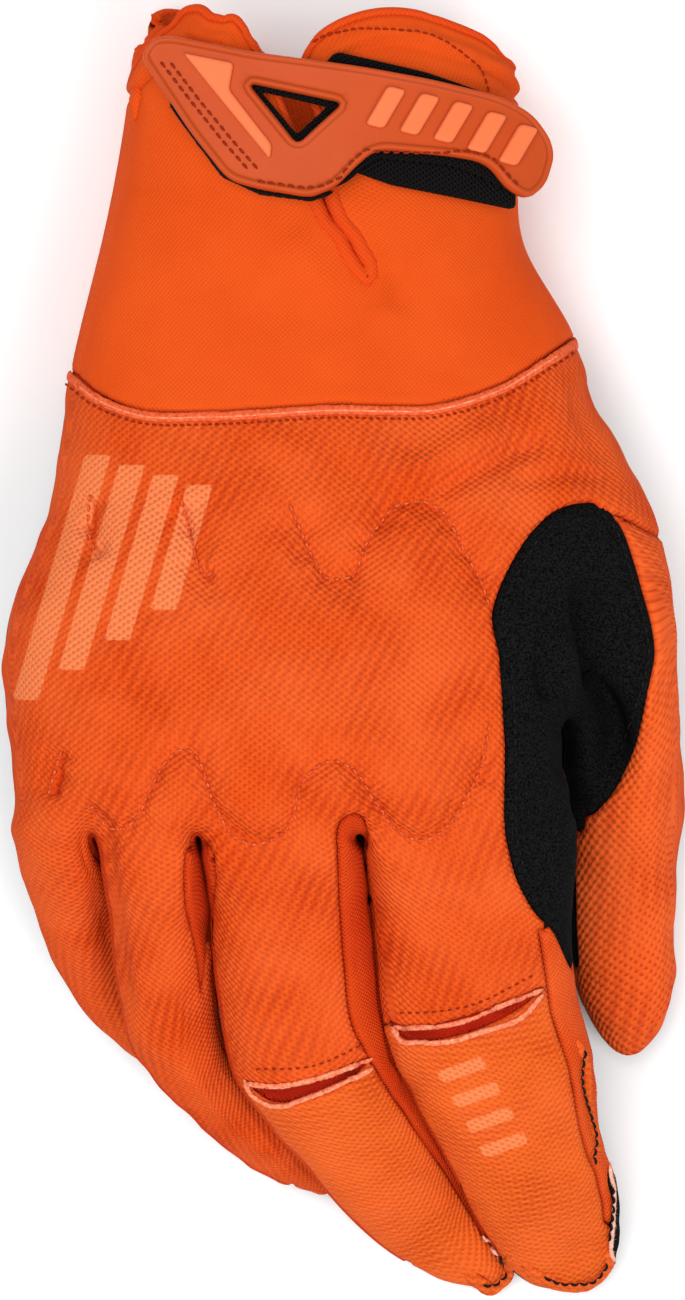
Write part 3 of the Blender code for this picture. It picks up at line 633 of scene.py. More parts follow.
# the webs between the fingers are smooth and shallow under the cloth: each place in the drawing,
# its reach and the rounds of averaging there
WEBS = ((197, 841, 12.0, 70), (364, 838, 8.0, 22), (91, 842, 23.0, 150))
for web_across, web_down, reach, rounds in WEBS:
    gap = np.hypot(*(drawn(skin) - np.array([web_across, web_down])).T)
    share = np.exp(-(gap / reach) ** 4) * np.clip((skin[:, 2] - 0.012) / 0.006, 0, 1)
    near = share > 0.004
    both = near[edge_a] & near[edge_b]
    ends, starts = edge_a[both], edge_b[both]
    count = np.bincount(ends, minlength=len(skin)) + np.bincount(starts, minlength=len(skin))
    count = np.maximum(count, 1)
    for _ in range(rounds if LEVELS == 4 else rounds // 4):
        for k in range(3):
            total = (np.bincount(ends, skin[starts, k], len(skin))
                     + np.bincount(starts, skin[ends, k], len(skin))) / count
            skin[near, k] += ((total - skin[:, k]) * share * 0.5)[near]
normals = normals_of(skin, quads)


def border_edges(quads_):
    """Directed edges that only one quad has, and the quad of each."""
    a = quads_.ravel()
    b = np.roll(quads_, -1, axis=1).ravel()
    top = max(a.max(), b.max()) + 1
    alone = ~np.isin(a * top + b, b * top + a)
    owner = np.repeat(np.arange(len(quads_)), 4)
    return a[alone], b[alone], owner[alone]


def loops_of(a, b):
    """The closed runs of points along directed edges."""
    after = {int(p): int(q) for p, q in zip(a, b)}
    runs = []
    while after:
        start = next(iter(after))
        run, point = [], start
        while point in after:
            run.append(point)
            point = after.pop(point)
        runs.append(run)
    return runs


# --- Folds and quilting -----------------------------------------------------------------------
# The cloth folds where the stuffed glove bends, and its knuckle pads are quilted: lines of
# stitches pull the knit down onto the lining, and it puckers beside them.


def tree_of(points):
    """A tree that finds the nearest of some points."""
    tree = KDTree(len(points))
    for k, point in enumerate(points):
        tree.insert(Vector(point), k)
    tree.balance()
    return tree


# the right flap's rim, right of 275 and above 125 in the drawing, is one even curve, and the
# cloth beside it goes along
RIM_REACH = 0.005
a, b, _ = border_edges(quads)
mouth_run = np.array(max(loops_of(a, b), key=len))
rim_places = drawn(skin[mouth_run])
rim = skin[mouth_run]
for _ in range(36 if LEVELS == 4 else 9):
    rim = (np.roll(rim, -1, axis=0) + rim * 2 + np.roll(rim, 1, axis=0)) / 4
rim = (rim - skin[mouth_run]) * (np.clip((rim_places[:, 0] - 275) / 20, 0, 1)
                                 * np.clip((125 - rim_places[:, 1]) / 25, 0, 1))[:, None]
tree = tree_of(skin[mouth_run])
for v in np.flatnonzero(cuff_points):
    _, k, gap = tree.find(Vector(skin[v]))
    skin[v] += rim[k] * np.exp(-(gap / RIM_REACH) ** 2)
normals = normals_of(skin, quads)

# folds: a line in the drawing, depth in mm (below zero a ridge), reach to either side in
# steps, and how much sharper the right side is
FOLDS = (
    (((415, 496), (455, 478), (490, 460), (530, 441), (550, 430)), 2.1, 15, 0.45),
    (((395, 476), (450, 454), (483, 435), (505, 423)), -1.3, 14, 0.0),
    (((505, 484), (571, 472), (620, 476)), 1.1, 10, 0.0),
    (((300, 452), (345, 470), (380, 500), (392, 540)), 0.6, 17, 0.0),
    (((262, 432), (310, 452), (352, 476)), -0.5, 16, 0.0),
    (((560, 446), (590, 452), (620, 462)), 0.5, 8, 0.0),
    (((612, 520), (640, 528), (664, 541)), 0.7, 8, 0.3),
    (((78, 790), (92, 815), (102, 850), (107, 884), (115, 946), (127, 1031)), 1.7, 20, 0.5),
    (((250, 292), (300, 318), (352, 330)), 0.5, 20, 0.0),
    (((384, 268), (398, 288), (396, 312)), 0.8, 13, 0.0),
    (((420, 240), (446, 262), (470, 296)), -0.5, 22, 0.0),
    (((292, 226), (306, 262), (338, 296)), -0.6, 16, 0.0),
    (((110, 300), (160, 352), (240, 388)), 0.35, 24, 0.0),
    (((640, 640), (664, 672), (676, 720)), 0.5, 12, 0.0),
    (((552, 630), (563, 655), (564, 685), (552, 702)), -2.2, 11, 0.0),
    (((547, 652), (543, 674), (548, 700)), 2.2, 7, 0.0),
    (((606, 800), (605, 740), (602, 690), (594, 635), (578, 575)), 8.0, 30, 0.62),
    (((520, 585), (540, 600), (556, 590)), 0.8, 12, 0.0),
)
stand_up = np.clip(normals[:, 2] * 1.6, 0.0, 1.0)
places = drawn(skin)
sink = np.zeros(len(skin))
for line, depth, reach, sharp in FOLDS:
    away, share, side = line_distance(places, curved(line))
    width = reach * np.where(side > 0, 1.0, 1.0 - sharp)
    ends = np.clip(np.minimum(share, 1 - share) * 5, 0, 1)
    sink += depth * np.exp(-(away / width) ** 2) * ends * stand_up

# quilting of the knuckle pads, in the drawing
QUILTING = (
    ((90, 495), (88, 530), (98, 559)),
    ((181, 500), (191, 538), (198, 564), (207, 575), (214, 569)),
    ((290, 505), (303, 536), (320, 571), (334, 579), (353, 575), (364, 549), (373, 532),
     (392, 509), (406, 503), (422, 501), (438, 508), (449, 520), (465, 552), (482, 584),
     (490, 609)),
    ((62, 750), (54, 774), (48, 798)),
    ((91, 804), (100, 818), (112, 828), (126, 828), (138, 815), (147, 796), (156, 776), (166, 761),
     (176, 752), (187, 750), (197, 758), (204, 774), (214, 804), (228, 830), (240, 840),
     (254, 845), (270, 841), (284, 833), (292, 817), (297, 796), (304, 780), (313, 770),
     (324, 763), (337, 762), (353, 769), (363, 781), (372, 796), (388, 821), (400, 833),
     (411, 839), (422, 841), (433, 838), (448, 826), (461, 808), (471, 790), (480, 772),
     (485, 752), (490, 720)),
)
STITCH_SINK, STITCH_WIDTH = 0.75, 4.2
PILLOW_SINK, PUCKER_SINK, PILLOW_WIDTH = 1.35, 1.1, 19.0
RIPPLE_SINK = 0.35
NO_STITCH = 60.0
is_back = np.isin(region_of, ("hand_back", "index_tip_back", "middle_tip_back", "thumb_back"))
back_points = np.zeros(len(skin))
back_points[np.unique(quads[is_back])] = 1.0
stitch_away = np.full(len(skin), NO_STITCH)
quilted = (back_points > 0) & (normals[:, 2] > 0.1)
pucker = np.array([noise.noise(Vector((p[0] * 420, p[1] * 420, 0.0))) for p in skin])
for line in QUILTING:
    away, share, _ = line_distance(places, curved(line))
    ends = np.clip(np.minimum(share, 1 - share) * 12, 0, 1)
    pull = ends * stand_up * back_points
    groove = STITCH_SINK * np.exp(-(away / STITCH_WIDTH) ** 2)
    pillow = (PILLOW_SINK + PUCKER_SINK * pucker) * np.exp(-(away / PILLOW_WIDTH) ** 2)
    sink += (groove + pillow) * pull
    stitch_away = np.where(quilted, np.minimum(stitch_away, away), stitch_away)
ripple = np.array([noise.noise(Vector((p[0] * 150 + p[1] * 60, p[1] * 210, p[2] * 160)))
                   for p in skin])
sink += RIPPLE_SINK * ripple * back_points
# the flaps' hems beside the rim: a stitched groove, the swelling before it and the turned edge,
# each with its depth in mm, its distance from the rim and its width
HEM = ((1.0, 0.0048, 0.0008), (-0.45, 0.0030, 0.0012), (0.5, 0.0012, 0.0006))
outer_mouth = mouth_run[(places[mouth_run, 1] < 120) & (skin[mouth_run, 2] > 0.018)]
tree = tree_of(skin[outer_mouth])
mouth_away = np.array([tree.find(Vector(p))[2] if own else 1.0
                       for p, own in zip(skin, cuff_points > 0)])
for depth, reach, width in HEM:
    sink += depth * np.exp(-((mouth_away - reach) / width) ** 2) * cuff_points
skin = skin - normals * (sink * 0.001)[:, None]
skin[:, 2] = np.maximum(skin[:, 2], 0.0)
normals = normals_of(skin, quads)
places = drawn(skin)
middles = places[quads].mean(axis=1)
facing = normals[quads].mean(axis=1)[:, 2]


# --- Borders of the panels --------------------------------------------------------------------
# The sewn panels meet along lines that the drawing gives: the suede patch between forefinger and
# thumb, the strips beside the middle finger, the flex slots, the thumb's seam and the cuff's.

PATCH = curved((
    (585, 502), (560, 508), (540, 524), (524, 544), (504, 580), (493, 613), (497, 640), (501, 659),
    (505, 722), (506, 770), (506, 824), (511, 855), (519, 882), (536, 913), (556, 933), (575, 970),
    (574, 925), (573, 880), (570, 827), (593, 814), (608, 797), (619, 778), (634, 742), (644, 710),
    (653, 678), (657, 653), (653, 622), (644, 590), (634, 555), (624, 528), (603, 505),
), 5, closed=True)
CUFF_SEAM = curved((
    (40, 356), (68, 370), (100, 395), (145, 411), (200, 412), (250, 410), (330, 405), (390, 406),
    (440, 404), (500, 385), (540, 361), (572, 340), (600, 322),
), 5)
MIDDLE_SIDE = curved((
    (338, 850), (339, 828), (347, 818), (357, 816), (364, 822), (366, 836),
), 5)
MIDDLE_SIDE_DOWN = curved((
    (338, 850), (341, 900), (345, 960), (352, 1020), (370, 1057), (390, 1090), (421, 1135),
    (455, 1185), (488, 1240),
), 5)
RING_SIDE = curved((
    (187, 905), (186, 872), (188, 854), (193, 846), (201, 843), (208, 847), (212, 858), (213, 880),
    (211, 915), (207, 960), (203, 990), (198, 950),
), 5, closed=True)
INDEX_SLOT = curved((
    (386, 1021), (398, 1026), (420, 1028), (450, 1022), (490, 1010), (520, 998), (544, 989),
    (520, 1010), (480, 1030), (440, 1041), (413, 1043), (397, 1036),
), 5, closed=True)
MIDDLE_SLOT = curved((
    (244, 1084), (262, 1087), (300, 1086), (340, 1073), (374, 1056), (345, 1086), (310, 1100),
    (280, 1105), (262, 1100),
), 5, closed=True)
THUMB_SEAM = curved(((600, 506), (632, 522), (668, 540)), 5)


def relabel(picked, new):
    """Gives quads to another panel."""
    region_of[picked] = new


def beyond(line, side):
    """Quads on one side of an open line in the drawing."""
    return line_distance(middles, line)[2] * side > 0


# facing is 1 where a quad looks straight up and 0 where it stands upright
seen_up = facing > 0.02
in_patch = inside(middles, PATCH)
near_patch = np.isin(region_of, ("hand_back", "web_patch", "thumb_back", "index_side")) & seen_up
lost = near_patch & (region_of == "web_patch") & ~in_patch
relabel(near_patch & in_patch, "web_patch")
relabel(lost & (middles[:, 0] < 545), "hand_back")
relabel(lost & (region_of == "web_patch") & (middles[:, 0] >= 585), "thumb_back")
relabel(lost & (region_of == "web_patch") & (middles[:, 1] <= 830), "thumb_back")
on_right = (middles[:, 0] > 590) & (middles[:, 1] < 640) & (facing > -0.3)
thumb_side = beyond(THUMB_SEAM, 1)
relabel(on_right & (region_of == "thumb_back") & ~thumb_side, "hand_back")
relabel(on_right & (region_of == "hand_back") & thumb_side & (middles[:, 1] > 500), "thumb_back")
low_cuff = (middles[:, 1] > 330) & (middles[:, 1] < 440) & seen_up
past_seam = line_distance(middles, CUFF_SEAM)[2] > 0
relabel(low_cuff & (region_of == "cuff_shell") & past_seam, "hand_back")
relabel(low_cuff & (region_of == "hand_back") & ~past_seam, "cuff_shell")
# the bottom of the hollow beside the forefinger belongs to the patch
relabel(((middles - np.array([573, 823])) ** 2).sum(axis=1) < 110, "web_patch")
relabel((region_of == "thumb_palm") & (facing > -0.12) & (middles[:, 1] > 815), "thumb_back")
# the edges of the back roll over the fingers' sides
relabel((region_of == "fourchette_ring_pinky") & (facing > 0.2), "hand_back")
oval = inside(middles, RING_SIDE)
rolled = (region_of == "fourchette_middle_ring") & (facing > 0.2) & ~oval
short_of_slot = middles[:, 1] < 1095
relabel(rolled & (short_of_slot | (digit_of == "ring")), "hand_back")
relabel(rolled & ~short_of_slot & (digit_of == "middle"), "middle_tip_back")
relabel(oval & (facing > 0.02) & (region_of == "hand_back") & (digit_of != "middle"),
        "fourchette_middle_ring")
relabel((region_of == "fourchette_index_middle") & (digit_of == "index") & (facing > 0.15)
        & (middles[:, 1] < 1030), "hand_back")
relabel((region_of == "fourchette_index_middle") & (middles[:, 0] > 365) & (facing > -0.1)
        & (middles[:, 1] < 900) & (digit_of != "middle"), "hand_back")
relabel((region_of == "fourchette_index_middle") & (digit_of == "index") & (facing > 0.15)
        & (middles[:, 1] >= 1030), "index_tip_back")
strip_box = inside(middles, np.concatenate([
    MIDDLE_SIDE[::-1], MIDDLE_SIDE_DOWN[1:], np.array([[500, 1240], [430, 1110], [388, 1045],
                                                        [381, 1000], [374, 900]])]))
relabel(strip_box & np.isin(digit_of, ("middle", "hand")) & (facing > 0.05)
        & np.isin(region_of, ("hand_back", "middle_tip_back", "flex_insert_middle")),
        "fourchette_index_middle")
for slot, insert, tip, line in (
        (INDEX_SLOT, "flex_insert_index", "index_tip_back",
         ((380, 1024), (440, 1036), (550, 990))),
        (MIDDLE_SLOT, "flex_insert_middle", "middle_tip_back",
         ((236, 1092), (300, 1094), (380, 1058)))):
    digit = insert.split("_")[-1]
    in_slot = inside(middles, slot) & seen_up & (digit_of == digit)
    below = beyond(line, 1)
    outside_slot = (region_of == insert) & ~in_slot
    relabel(outside_slot & below, tip)
    relabel(outside_slot & ~below, "hand_back")
    close = (np.abs(middles[:, 1] - np.mean([p[1] for p in line])) < 60) & (digit_of == digit)
    relabel(close & seen_up & below & (region_of == "hand_back"), tip)
    relabel(close & seen_up & ~below & (region_of == tip), "hand_back")
    relabel(in_slot & np.isin(region_of, ("hand_back", tip)), insert)

# the points on those seams are drawn onto their lines
SNAP_REACH = 4.4 if LEVELS == 4 else 6.5
BETWEEN = np.arange(8)[None, :, None] / 8
codes = np.unique(region_of, return_inverse=True)[1]
low_code = np.full(len(skin), 99)
high_code = np.full(len(skin), -1)
for k in range(4):
    np.minimum.at(low_code, quads[:, k], codes)
    np.maximum.at(high_code, quads[:, k], codes)
on_seam = (low_code != high_code) & (normals[:, 2] > 0.12)
for line, closed in ((PATCH, True), (RING_SIDE, True), (MIDDLE_SIDE, False),
                     (MIDDLE_SIDE_DOWN, False), (INDEX_SLOT, True), (MIDDLE_SLOT, True),
                     (THUMB_SEAM, False), (CUFF_SEAM, False)):
    run = np.concatenate([line, line[:1]]) if closed else line
    fine = (run[:-1, None] * (1 - BETWEEN) + run[1:, None] * BETWEEN).reshape(-1, 2)
    tree = tree_of(np.pad(fine, ((0, 0), (0, 1))))
    for v in np.flatnonzero(on_seam):
        spot, _, gap = tree.find(Vector((*places[v], 0.0)))
        if gap < SNAP_REACH:
            size = STEP * (EYE[2] - skin[v, 2]) / (EYE[2] - DRAWN_AT)
            dx, dy = (spot.x - places[v, 0]) * size, -(spot.y - places[v, 1]) * size
            skin[v] += (dx, dy, -(normals[v, 0] * dx + normals[v, 1] * dy) / normals[v, 2])
# the inserts lie deep in their slots
INSERT_DEPTH = 0.0018
for insert in ("flex_insert_index", "flex_insert_middle"):
    own = quads[region_of == insert]
    deep = np.setdiff1d(np.unique(own), border_edges(own)[0])
    skin[deep] -= normals[deep] * INSERT_DEPTH


# --- Back of the hand, fingers and thumb, and the strips at their sides -----------------------
# Knitted mesh makes the back, the fingertips and the thumb, with a finer stretch knit beside the
# fingers and deep in the two flex slots. The panels are cut from the skin and sewn edge to edge.

BACK_WALL = 0.0015
SIDE_WALL = 0.0010
SEAM_GAP = 0.0004
EDGE_ROLL = 0.0006
EDGE_DROP = 0.0005
NO_PRINT = 90.0
FAR_MM = 9.0

# pale bars printed on the cloth: four long slanted ones beside the knuckles and four short ones
# on the forefinger
bars = [((12 + 46 * k, 700 - 30 * k), (38 + 46 * k, 700 - 30 * k),
         (111 + 34 * k, 455 + 10 * k), (85 + 34 * k, 455 + 10 * k)) for k in range(4)]
bars += [((437 + 14 * k, 1072 + 25 * k), (482 + 14 * k, 1056 + 25 * k),
          (487 + 14 * k, 1068 + 25 * k), (442 + 14 * k, 1084 + 25 * k)) for k in range(4)]
places = drawn(skin)
print_away = np.full(len(skin), NO_PRINT)
for bar in bars:
    bar_line = np.array(bar + bar[:1], dtype=float)
    gap = line_distance(places, bar_line)[0] * np.where(inside(places, bar), -1, 1)
    print_away = np.minimum(print_away, gap)
print_away = np.where(normals[:, 2] > 0.0, print_away, NO_PRINT) * STEP * 1000


def new_piece(name, points, faces, material, node_names, slot):
    """A smooth-shaded piece that rides on the glove."""
    mesh = bpy.data.meshes.new(name)
    points = np.array(points, dtype=float)
    points[:, 2] = np.maximum(points[:, 2], 0.0)
    mesh.from_pydata(points.tolist(), [], [list(map(int, f)) for f in faces])
    mesh.materials.append(material)
    mesh.shade_smooth()
    obj = bpy.data.objects.new(name, mesh)
    bpy.context.scene.collection.objects.link(obj)
    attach(obj, "root")
    if node_names:
        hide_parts(*node_names)
    return obj


def keep(obj, name, values):
    """Stores a value of each point for the piece's material."""
    values = np.asarray(values, dtype=np.float32)
    kind = "FLOAT_VECTOR" if values.ndim == 2 else "FLOAT"
    made = obj.data.attributes.new(name, kind, "POINT")
    made.data.foreach_set("vector" if values.ndim == 2 else "value", values.ravel())


def trim_values(obj):
    """Gives a trim piece the values that the knit materials read."""
    spots = np.array([tuple(v.co) for v in obj.data.vertices])
    keep(obj, "weave", spots * (1.0, 1.0, 0.0))
    for name in ("edge_mm", "stitch_mm", "print_mm"):
        keep(obj, name, np.full(len(spots), FAR_MM))


def cut_panel(region, material, wall, slot):
    """One sewn panel: a closed shell cut from the skin whose edges turn down into the seam."""
    picked = quads[region_of == region]
    a, b, owner = border_edges(picked)
    used = np.unique(picked)
    number = np.full(len(skin), -1)
    number[used] = np.arange(len(used))
    along = skin[b] - skin[a]
    along /= np.linalg.norm(along, axis=1)[:, None]
    inward = skin[picked[owner]].mean(axis=1) - (skin[a] + skin[b]) / 2
    inward -= along * (inward * along).sum(1)[:, None]
    inward /= np.linalg.norm(inward, axis=1)[:, None]
    moves = np.zeros((len(used), 3))
    np.add.at(moves, number[a], inward)
    np.add.at(moves, number[b], inward)
    size = np.linalg.norm(moves, axis=1)
    moves = np.where(size[:, None] > 1e-9, moves / np.maximum(size, 1e-9)[:, None], 0)
    outer = skin[used] + moves * (SEAM_GAP / 4)
    rim = np.unique(np.concatenate([a, b]))
    tree = tree_of(skin[rim])
    away = np.array([tree.find(Vector(p))[2] for p in skin[used]])
    outer -= normals[used] * (EDGE_DROP * np.exp(-(away / EDGE_ROLL) ** 2))[:, None]
    outer[:, 2] = np.maximum(outer[:, 2], 0.0)
    inner = outer - normals[used] * wall
    count = len(used)
    faces = np.concatenate([
        number[picked], number[picked][:, ::-1] + count,
        np.stack([number[b], number[a], number[a] + count, number[b] + count], axis=1),
    ])
    panel = new_piece(region, np.concatenate([outer, inner]), faces, material, [region], slot)
    for name, values in (("weave", np.pad(weave[used], ((0, 0), (0, 1)))),
                         ("edge_mm", away * 1000),
                         ("stitch_mm", stitch_away[used] * STEP * 1000),
                         ("print_mm", print_away[used])):
        keep(panel, name, np.concatenate([values, values]))


def step(tree, kind, *feeds, **settings):
    """One node, its inputs fed in order and its own settings made."""
    made = tree.nodes.new(kind)
    for key, value in settings.items():
        setattr(made, key, value)
    for place, feed in enumerate(feeds):
        if isinstance(feed, bpy.types.NodeSocket):
            tree.links.new(feed, made.inputs[place])
        elif feed is not None:
            made.inputs[place].default_value = feed
    return made


def sums(tree, operation, *feeds, clamp=False):
    """The result of one operation on numbers."""
    return step(tree, "ShaderNodeMath", *feeds, operation=operation, use_clamp=clamp).outputs[0]


def tint(tree, factor, first, second):
    """A colour between two, by a factor."""
    made = step(tree, "ShaderNodeMix", data_type="RGBA", blend_type="MIX")
    for place, feed in ((0, factor), (6, first), (7, second)):
        if isinstance(feed, bpy.types.NodeSocket):
            tree.links.new(feed, made.inputs[place])
        else:
            made.inputs[place].default_value = (*feed, 1.0) if place > 0 else feed
    return made.outputs[2]


def group(name, takes, gives):
    """A node group with named inputs and outputs."""
    made = bpy.data.node_groups.new(name, "ShaderNodeTree")
    for label, kind, value in takes:
        socket = made.interface.new_socket(name=label, in_out="INPUT", socket_type=kind)
        if value is not None:
            socket.default_value = value
    for label, kind in gives:
        made.interface.new_socket(name=label, in_out="OUTPUT", socket_type=kind)
    return made, made.nodes.new("NodeGroupInput").outputs, made.nodes.new("NodeGroupOutput").inputs


def placed(tree, made, feeds):
    """The outputs of a group placed in a material with its own values."""
    node = step(tree, "ShaderNodeGroup", node_tree=made)
    for label, feed in feeds.items():
        if isinstance(feed, bpy.types.NodeSocket):
            tree.links.new(feed, node.inputs[label])
        else:
            node.inputs[label].default_value = feed
    return node.outputs


def kept_value(tree, name, output="Fac"):
    """A value that keep() stored at the piece's points."""
    return step(tree, "ShaderNodeAttribute", attribute_name=name).outputs[output]


def raised(tree, surface, height, strength, distance):
    """Bumps of the surface from a height."""
    bump = step(tree, "ShaderNodeBump", strength, distance)
    tree.links.new(height, bump.inputs["Height"])
    tree.links.new(bump.outputs[0], surface.inputs["Normal"])


def knit_group():
    """Small staggered cells of a knit, with a height, a hollow mask and a tonal stripe."""
    made, takes, gives = group(
        "Knit cells",
        (("Place", "NodeSocketVector", None), ("Cell width", "NodeSocketFloat", 0.0013),
         ("Cell length", "NodeSocketFloat", 0.0012), ("Slant", "NodeSocketFloat", 0.15),
         ("Stripe", "NodeSocketFloat", 0.0019), ("Stripe across", "NodeSocketFloat", 0.9),
         ("Stripe along", "NodeSocketFloat", -0.42), ("Unevenness", "NodeSocketFloat", 0.3)),
        (("Height", "NodeSocketFloat"), ("Hollow", "NodeSocketFloat"),
         ("Stripes", "NodeSocketFloat"), ("Blotches", "NodeSocketFloat")),
    )
    wobble = step(made, "ShaderNodeTexNoise", takes["Place"], None, 900.0, 2.0).outputs["Fac"]
    parts = step(made, "ShaderNodeSeparateXYZ", takes["Place"]).outputs
    across = sums(made, "DIVIDE", parts[0], takes["Cell width"])
    lean = sums(made, "MULTIPLY", parts[0], takes["Slant"])
    along = sums(made, "DIVIDE", sums(made, "ADD", parts[1], lean), takes["Cell length"])
    shaky = sums(made, "MULTIPLY", wobble, takes["Unevenness"])
    waves = []
    for way in (across, along):
        turn = sums(made, "MULTIPLY", sums(made, "ADD", way, shaky), 2 * math.pi)
        waves.append(sums(made, "COSINE", turn))
    cell = sums(made, "MULTIPLY", *waves)
    made.links.new(cell, gives["Height"])
    # the hollow mask marks the low parts of the cells, where the materials paint shade
    hollow = sums(made, "MULTIPLY_ADD", cell, -1.6, -0.35, clamp=True)
    made.links.new(hollow, gives["Hollow"])
    diagonal = sums(made, "ADD", sums(made, "MULTIPLY", parts[0], takes["Stripe across"]),
                    sums(made, "MULTIPLY", parts[1], takes["Stripe along"]))
    turn = sums(made, "MULTIPLY", sums(made, "DIVIDE", diagonal, takes["Stripe"]), 2 * math.pi)
    stripe = sums(made, "SINE", turn)
    patchy = step(made, "ShaderNodeTexNoise", takes["Place"], None, 60.0, 3.0).outputs["Fac"]
    fading = step(made, "ShaderNodeTexNoise", takes["Place"], None, 95.0, 2.0).outputs["Fac"]
    strength = sums(made, "MULTIPLY_ADD", fading, 3.2, -1.0, clamp=True)
    made.links.new(sums(made, "MULTIPLY", sums(made, "MULTIPLY_ADD", stripe, 0.5, 0.5), strength),
                   gives["Stripes"])
    made.links.new(sums(made, "MULTIPLY_ADD", patchy, 3.0, -1.0, clamp=True), gives["Blotches"])
    return made


def edge_group():
    """Shade where a panel's edge turns into its seam and along its stitched lines."""
    made, takes, gives = group(
        "Sewn edges",
        (("Edge mm", "NodeSocketFloat", FAR_MM), ("Stitch mm", "NodeSocketFloat", FAR_MM)),
        (("Edge shade", "NodeSocketFloat"), ("Stitch shade", "NodeSocketFloat")),
    )
    edge = sums(made, "MULTIPLY_ADD", takes["Edge mm"], -1.1, 0.75, clamp=True)
    made.links.new(sums(made, "MULTIPLY", edge, 0.6), gives["Edge shade"])
    stitch = sums(made, "MULTIPLY_ADD", takes["Stitch mm"], -2.2, 1.0, clamp=True)
    made.links.new(sums(made, "MULTIPLY", stitch, 0.55), gives["Stitch shade"])
    return made


def print_group():
    """Ink with an edge ragged by the knit, thin over the knit's hollows."""
    made, takes, gives = group(
        "Printed bars",
        (("Print mm", "NodeSocketFloat", FAR_MM), ("Height", "NodeSocketFloat", 0.0),
         ("Hollow", "NodeSocketFloat", 0.0)),
        (("Ink", "NodeSocketFloat"),),
    )
    ragged = sums(made, "MULTIPLY_ADD", takes["Height"], 0.12, takes["Print mm"])
    ink = sums(made, "MULTIPLY_ADD", ragged, -5.0, 0.5, clamp=True)
    cover = sums(made, "MULTIPLY_ADD", takes["Hollow"], -0.5, 0.9)
    made.links.new(sums(made, "MULTIPLY", ink, cover), gives["Ink"])
    return made


KNIT = knit_group()
EDGES = edge_group()
PRINT = print_group()


def blank_material(name, roughness, shine=0.06):
    """A material with one rough Principled shader."""
    made = bpy.data.materials.new(name)
    made.use_nodes = True
    surface = made.node_tree.nodes["Principled BSDF"]
    surface.inputs["Roughness"].default_value = roughness
    surface.inputs["Specular IOR Level"].default_value = shine
    return made, made.node_tree, surface


def knit_material(name, main, deep, pale, cell_width, cell_length, slant, relief, stripes,
                  hollows=0.5, stripe=(0.0019, 0.9, -0.42), printed=None):
    """A knit of one colour, tonal stripes and painted shade in hollows, seams and stitch lines."""
    made, tree, surface = blank_material(name, 0.9)
    cells = placed(tree, KNIT, {
        "Place": kept_value(tree, "weave", "Vector"), "Cell width": cell_width,
        "Cell length": cell_length, "Slant": slant, "Stripe": stripe[0],
        "Stripe across": stripe[1], "Stripe along": stripe[2]})
    # painted shade in the knit's hollows
    colour = tint(tree, sums(tree, "MULTIPLY", cells["Hollow"], hollows), main, deep)
    colour = tint(tree, sums(tree, "MULTIPLY", cells["Stripes"], stripes), colour, deep)
    colour = tint(tree, sums(tree, "MULTIPLY", cells["Blotches"], 0.5), colour, pale)
    if printed:
        bar_ink = placed(tree, PRINT, {"Print mm": kept_value(tree, "print_mm"),
                                       "Height": cells["Height"], "Hollow": cells["Hollow"]})
        colour = tint(tree, bar_ink["Ink"], colour, printed)
    edges = placed(tree, EDGES, {"Edge mm": kept_value(tree, "edge_mm"),
                                 "Stitch mm": kept_value(tree, "stitch_mm")})
    colour = tint(tree, edges["Edge shade"], colour, deep)
    colour = tint(tree, edges["Stitch shade"], colour, deep)
    tree.links.new(colour, surface.inputs["Base Color"])
    raised(tree, surface, cells["Height"], 0.6, relief)
    return made


ORANGE = (0.69, 0.074, 0.0072)
DEEP_ORANGE = (0.40, 0.018, 0.002)
PALE = (0.84, 0.135, 0.028)
INK = (0.84, 0.215, 0.075)
back_cloth = knit_material("mesh knit", ORANGE, DEEP_ORANGE, PALE, 0.0016, 0.0012, 0.08, 0.00034,
                           0.62, 0.62, printed=INK)
forefinger_cloth = knit_material("forefinger knit", (0.74, 0.115, 0.013), DEEP_ORANGE, PALE,
                                 0.0016, 0.0012, 0.08, 0.00030, 0.55, 0.5, (0.00148, 0.12, 1.0),
                                 INK)
thumb_cloth = knit_material("thumb knit", (0.75, 0.094, 0.0125), DEEP_ORANGE, PALE, 0.0019, 0.0018,
                            0.30, 0.00034, 0.5, 0.85, (0.0030, 1.0, 0.2))
side_cloth = knit_material("stretch side", (0.62, 0.046, 0.006), DEEP_ORANGE, ORANGE, 0.0009,
                           0.0008, 0.0, 0.00034, 0.1)
outer_side_cloth = knit_material("forefinger side", (0.70, 0.072, 0.009), DEEP_ORANGE, PALE,
                                 0.0010, 0.0009, 0.0, 0.00034, 0.15, 0.4)
# the slots' stretch knit: a darker knit of its own, darkened further with painted shade of the deep
# slots
shaded_slot_cloth = knit_material("slot stretch", (0.36, 0.012, 0.003), (0.18, 0.004, 0.001),
                           (0.42, 0.018, 0.004), 0.0009, 0.0006, 0.0, 0.00012, 0.1)
for region, cloth in (("hand_back", back_cloth), ("index_tip_back", forefinger_cloth),
                      ("middle_tip_back", forefinger_cloth), ("thumb_back", thumb_cloth)):
    cut_panel(region, cloth, BACK_WALL, "mesh_knit")
for region, cloth in (("index_side", outer_side_cloth), ("fourchette_index_middle", side_cloth),
                      ("fourchette_middle_ring", side_cloth),
                      ("fourchette_ring_pinky", side_cloth), ("flex_insert_index", shaded_slot_cloth),
                      ("flex_insert_middle", shaded_slot_cloth)):
    cut_panel(region, cloth, SIDE_WALL, "stretch_knit")


# --- Palm, thumb's underside and web patch ----------------------------------------------------
# Thin synthetic suede, brushed on its face. One piece makes the palm and the undersides of the
# fingers, two more the thumb's underside and the patch in the web; sewn with black thread.

PALM_WALL = 0.0013


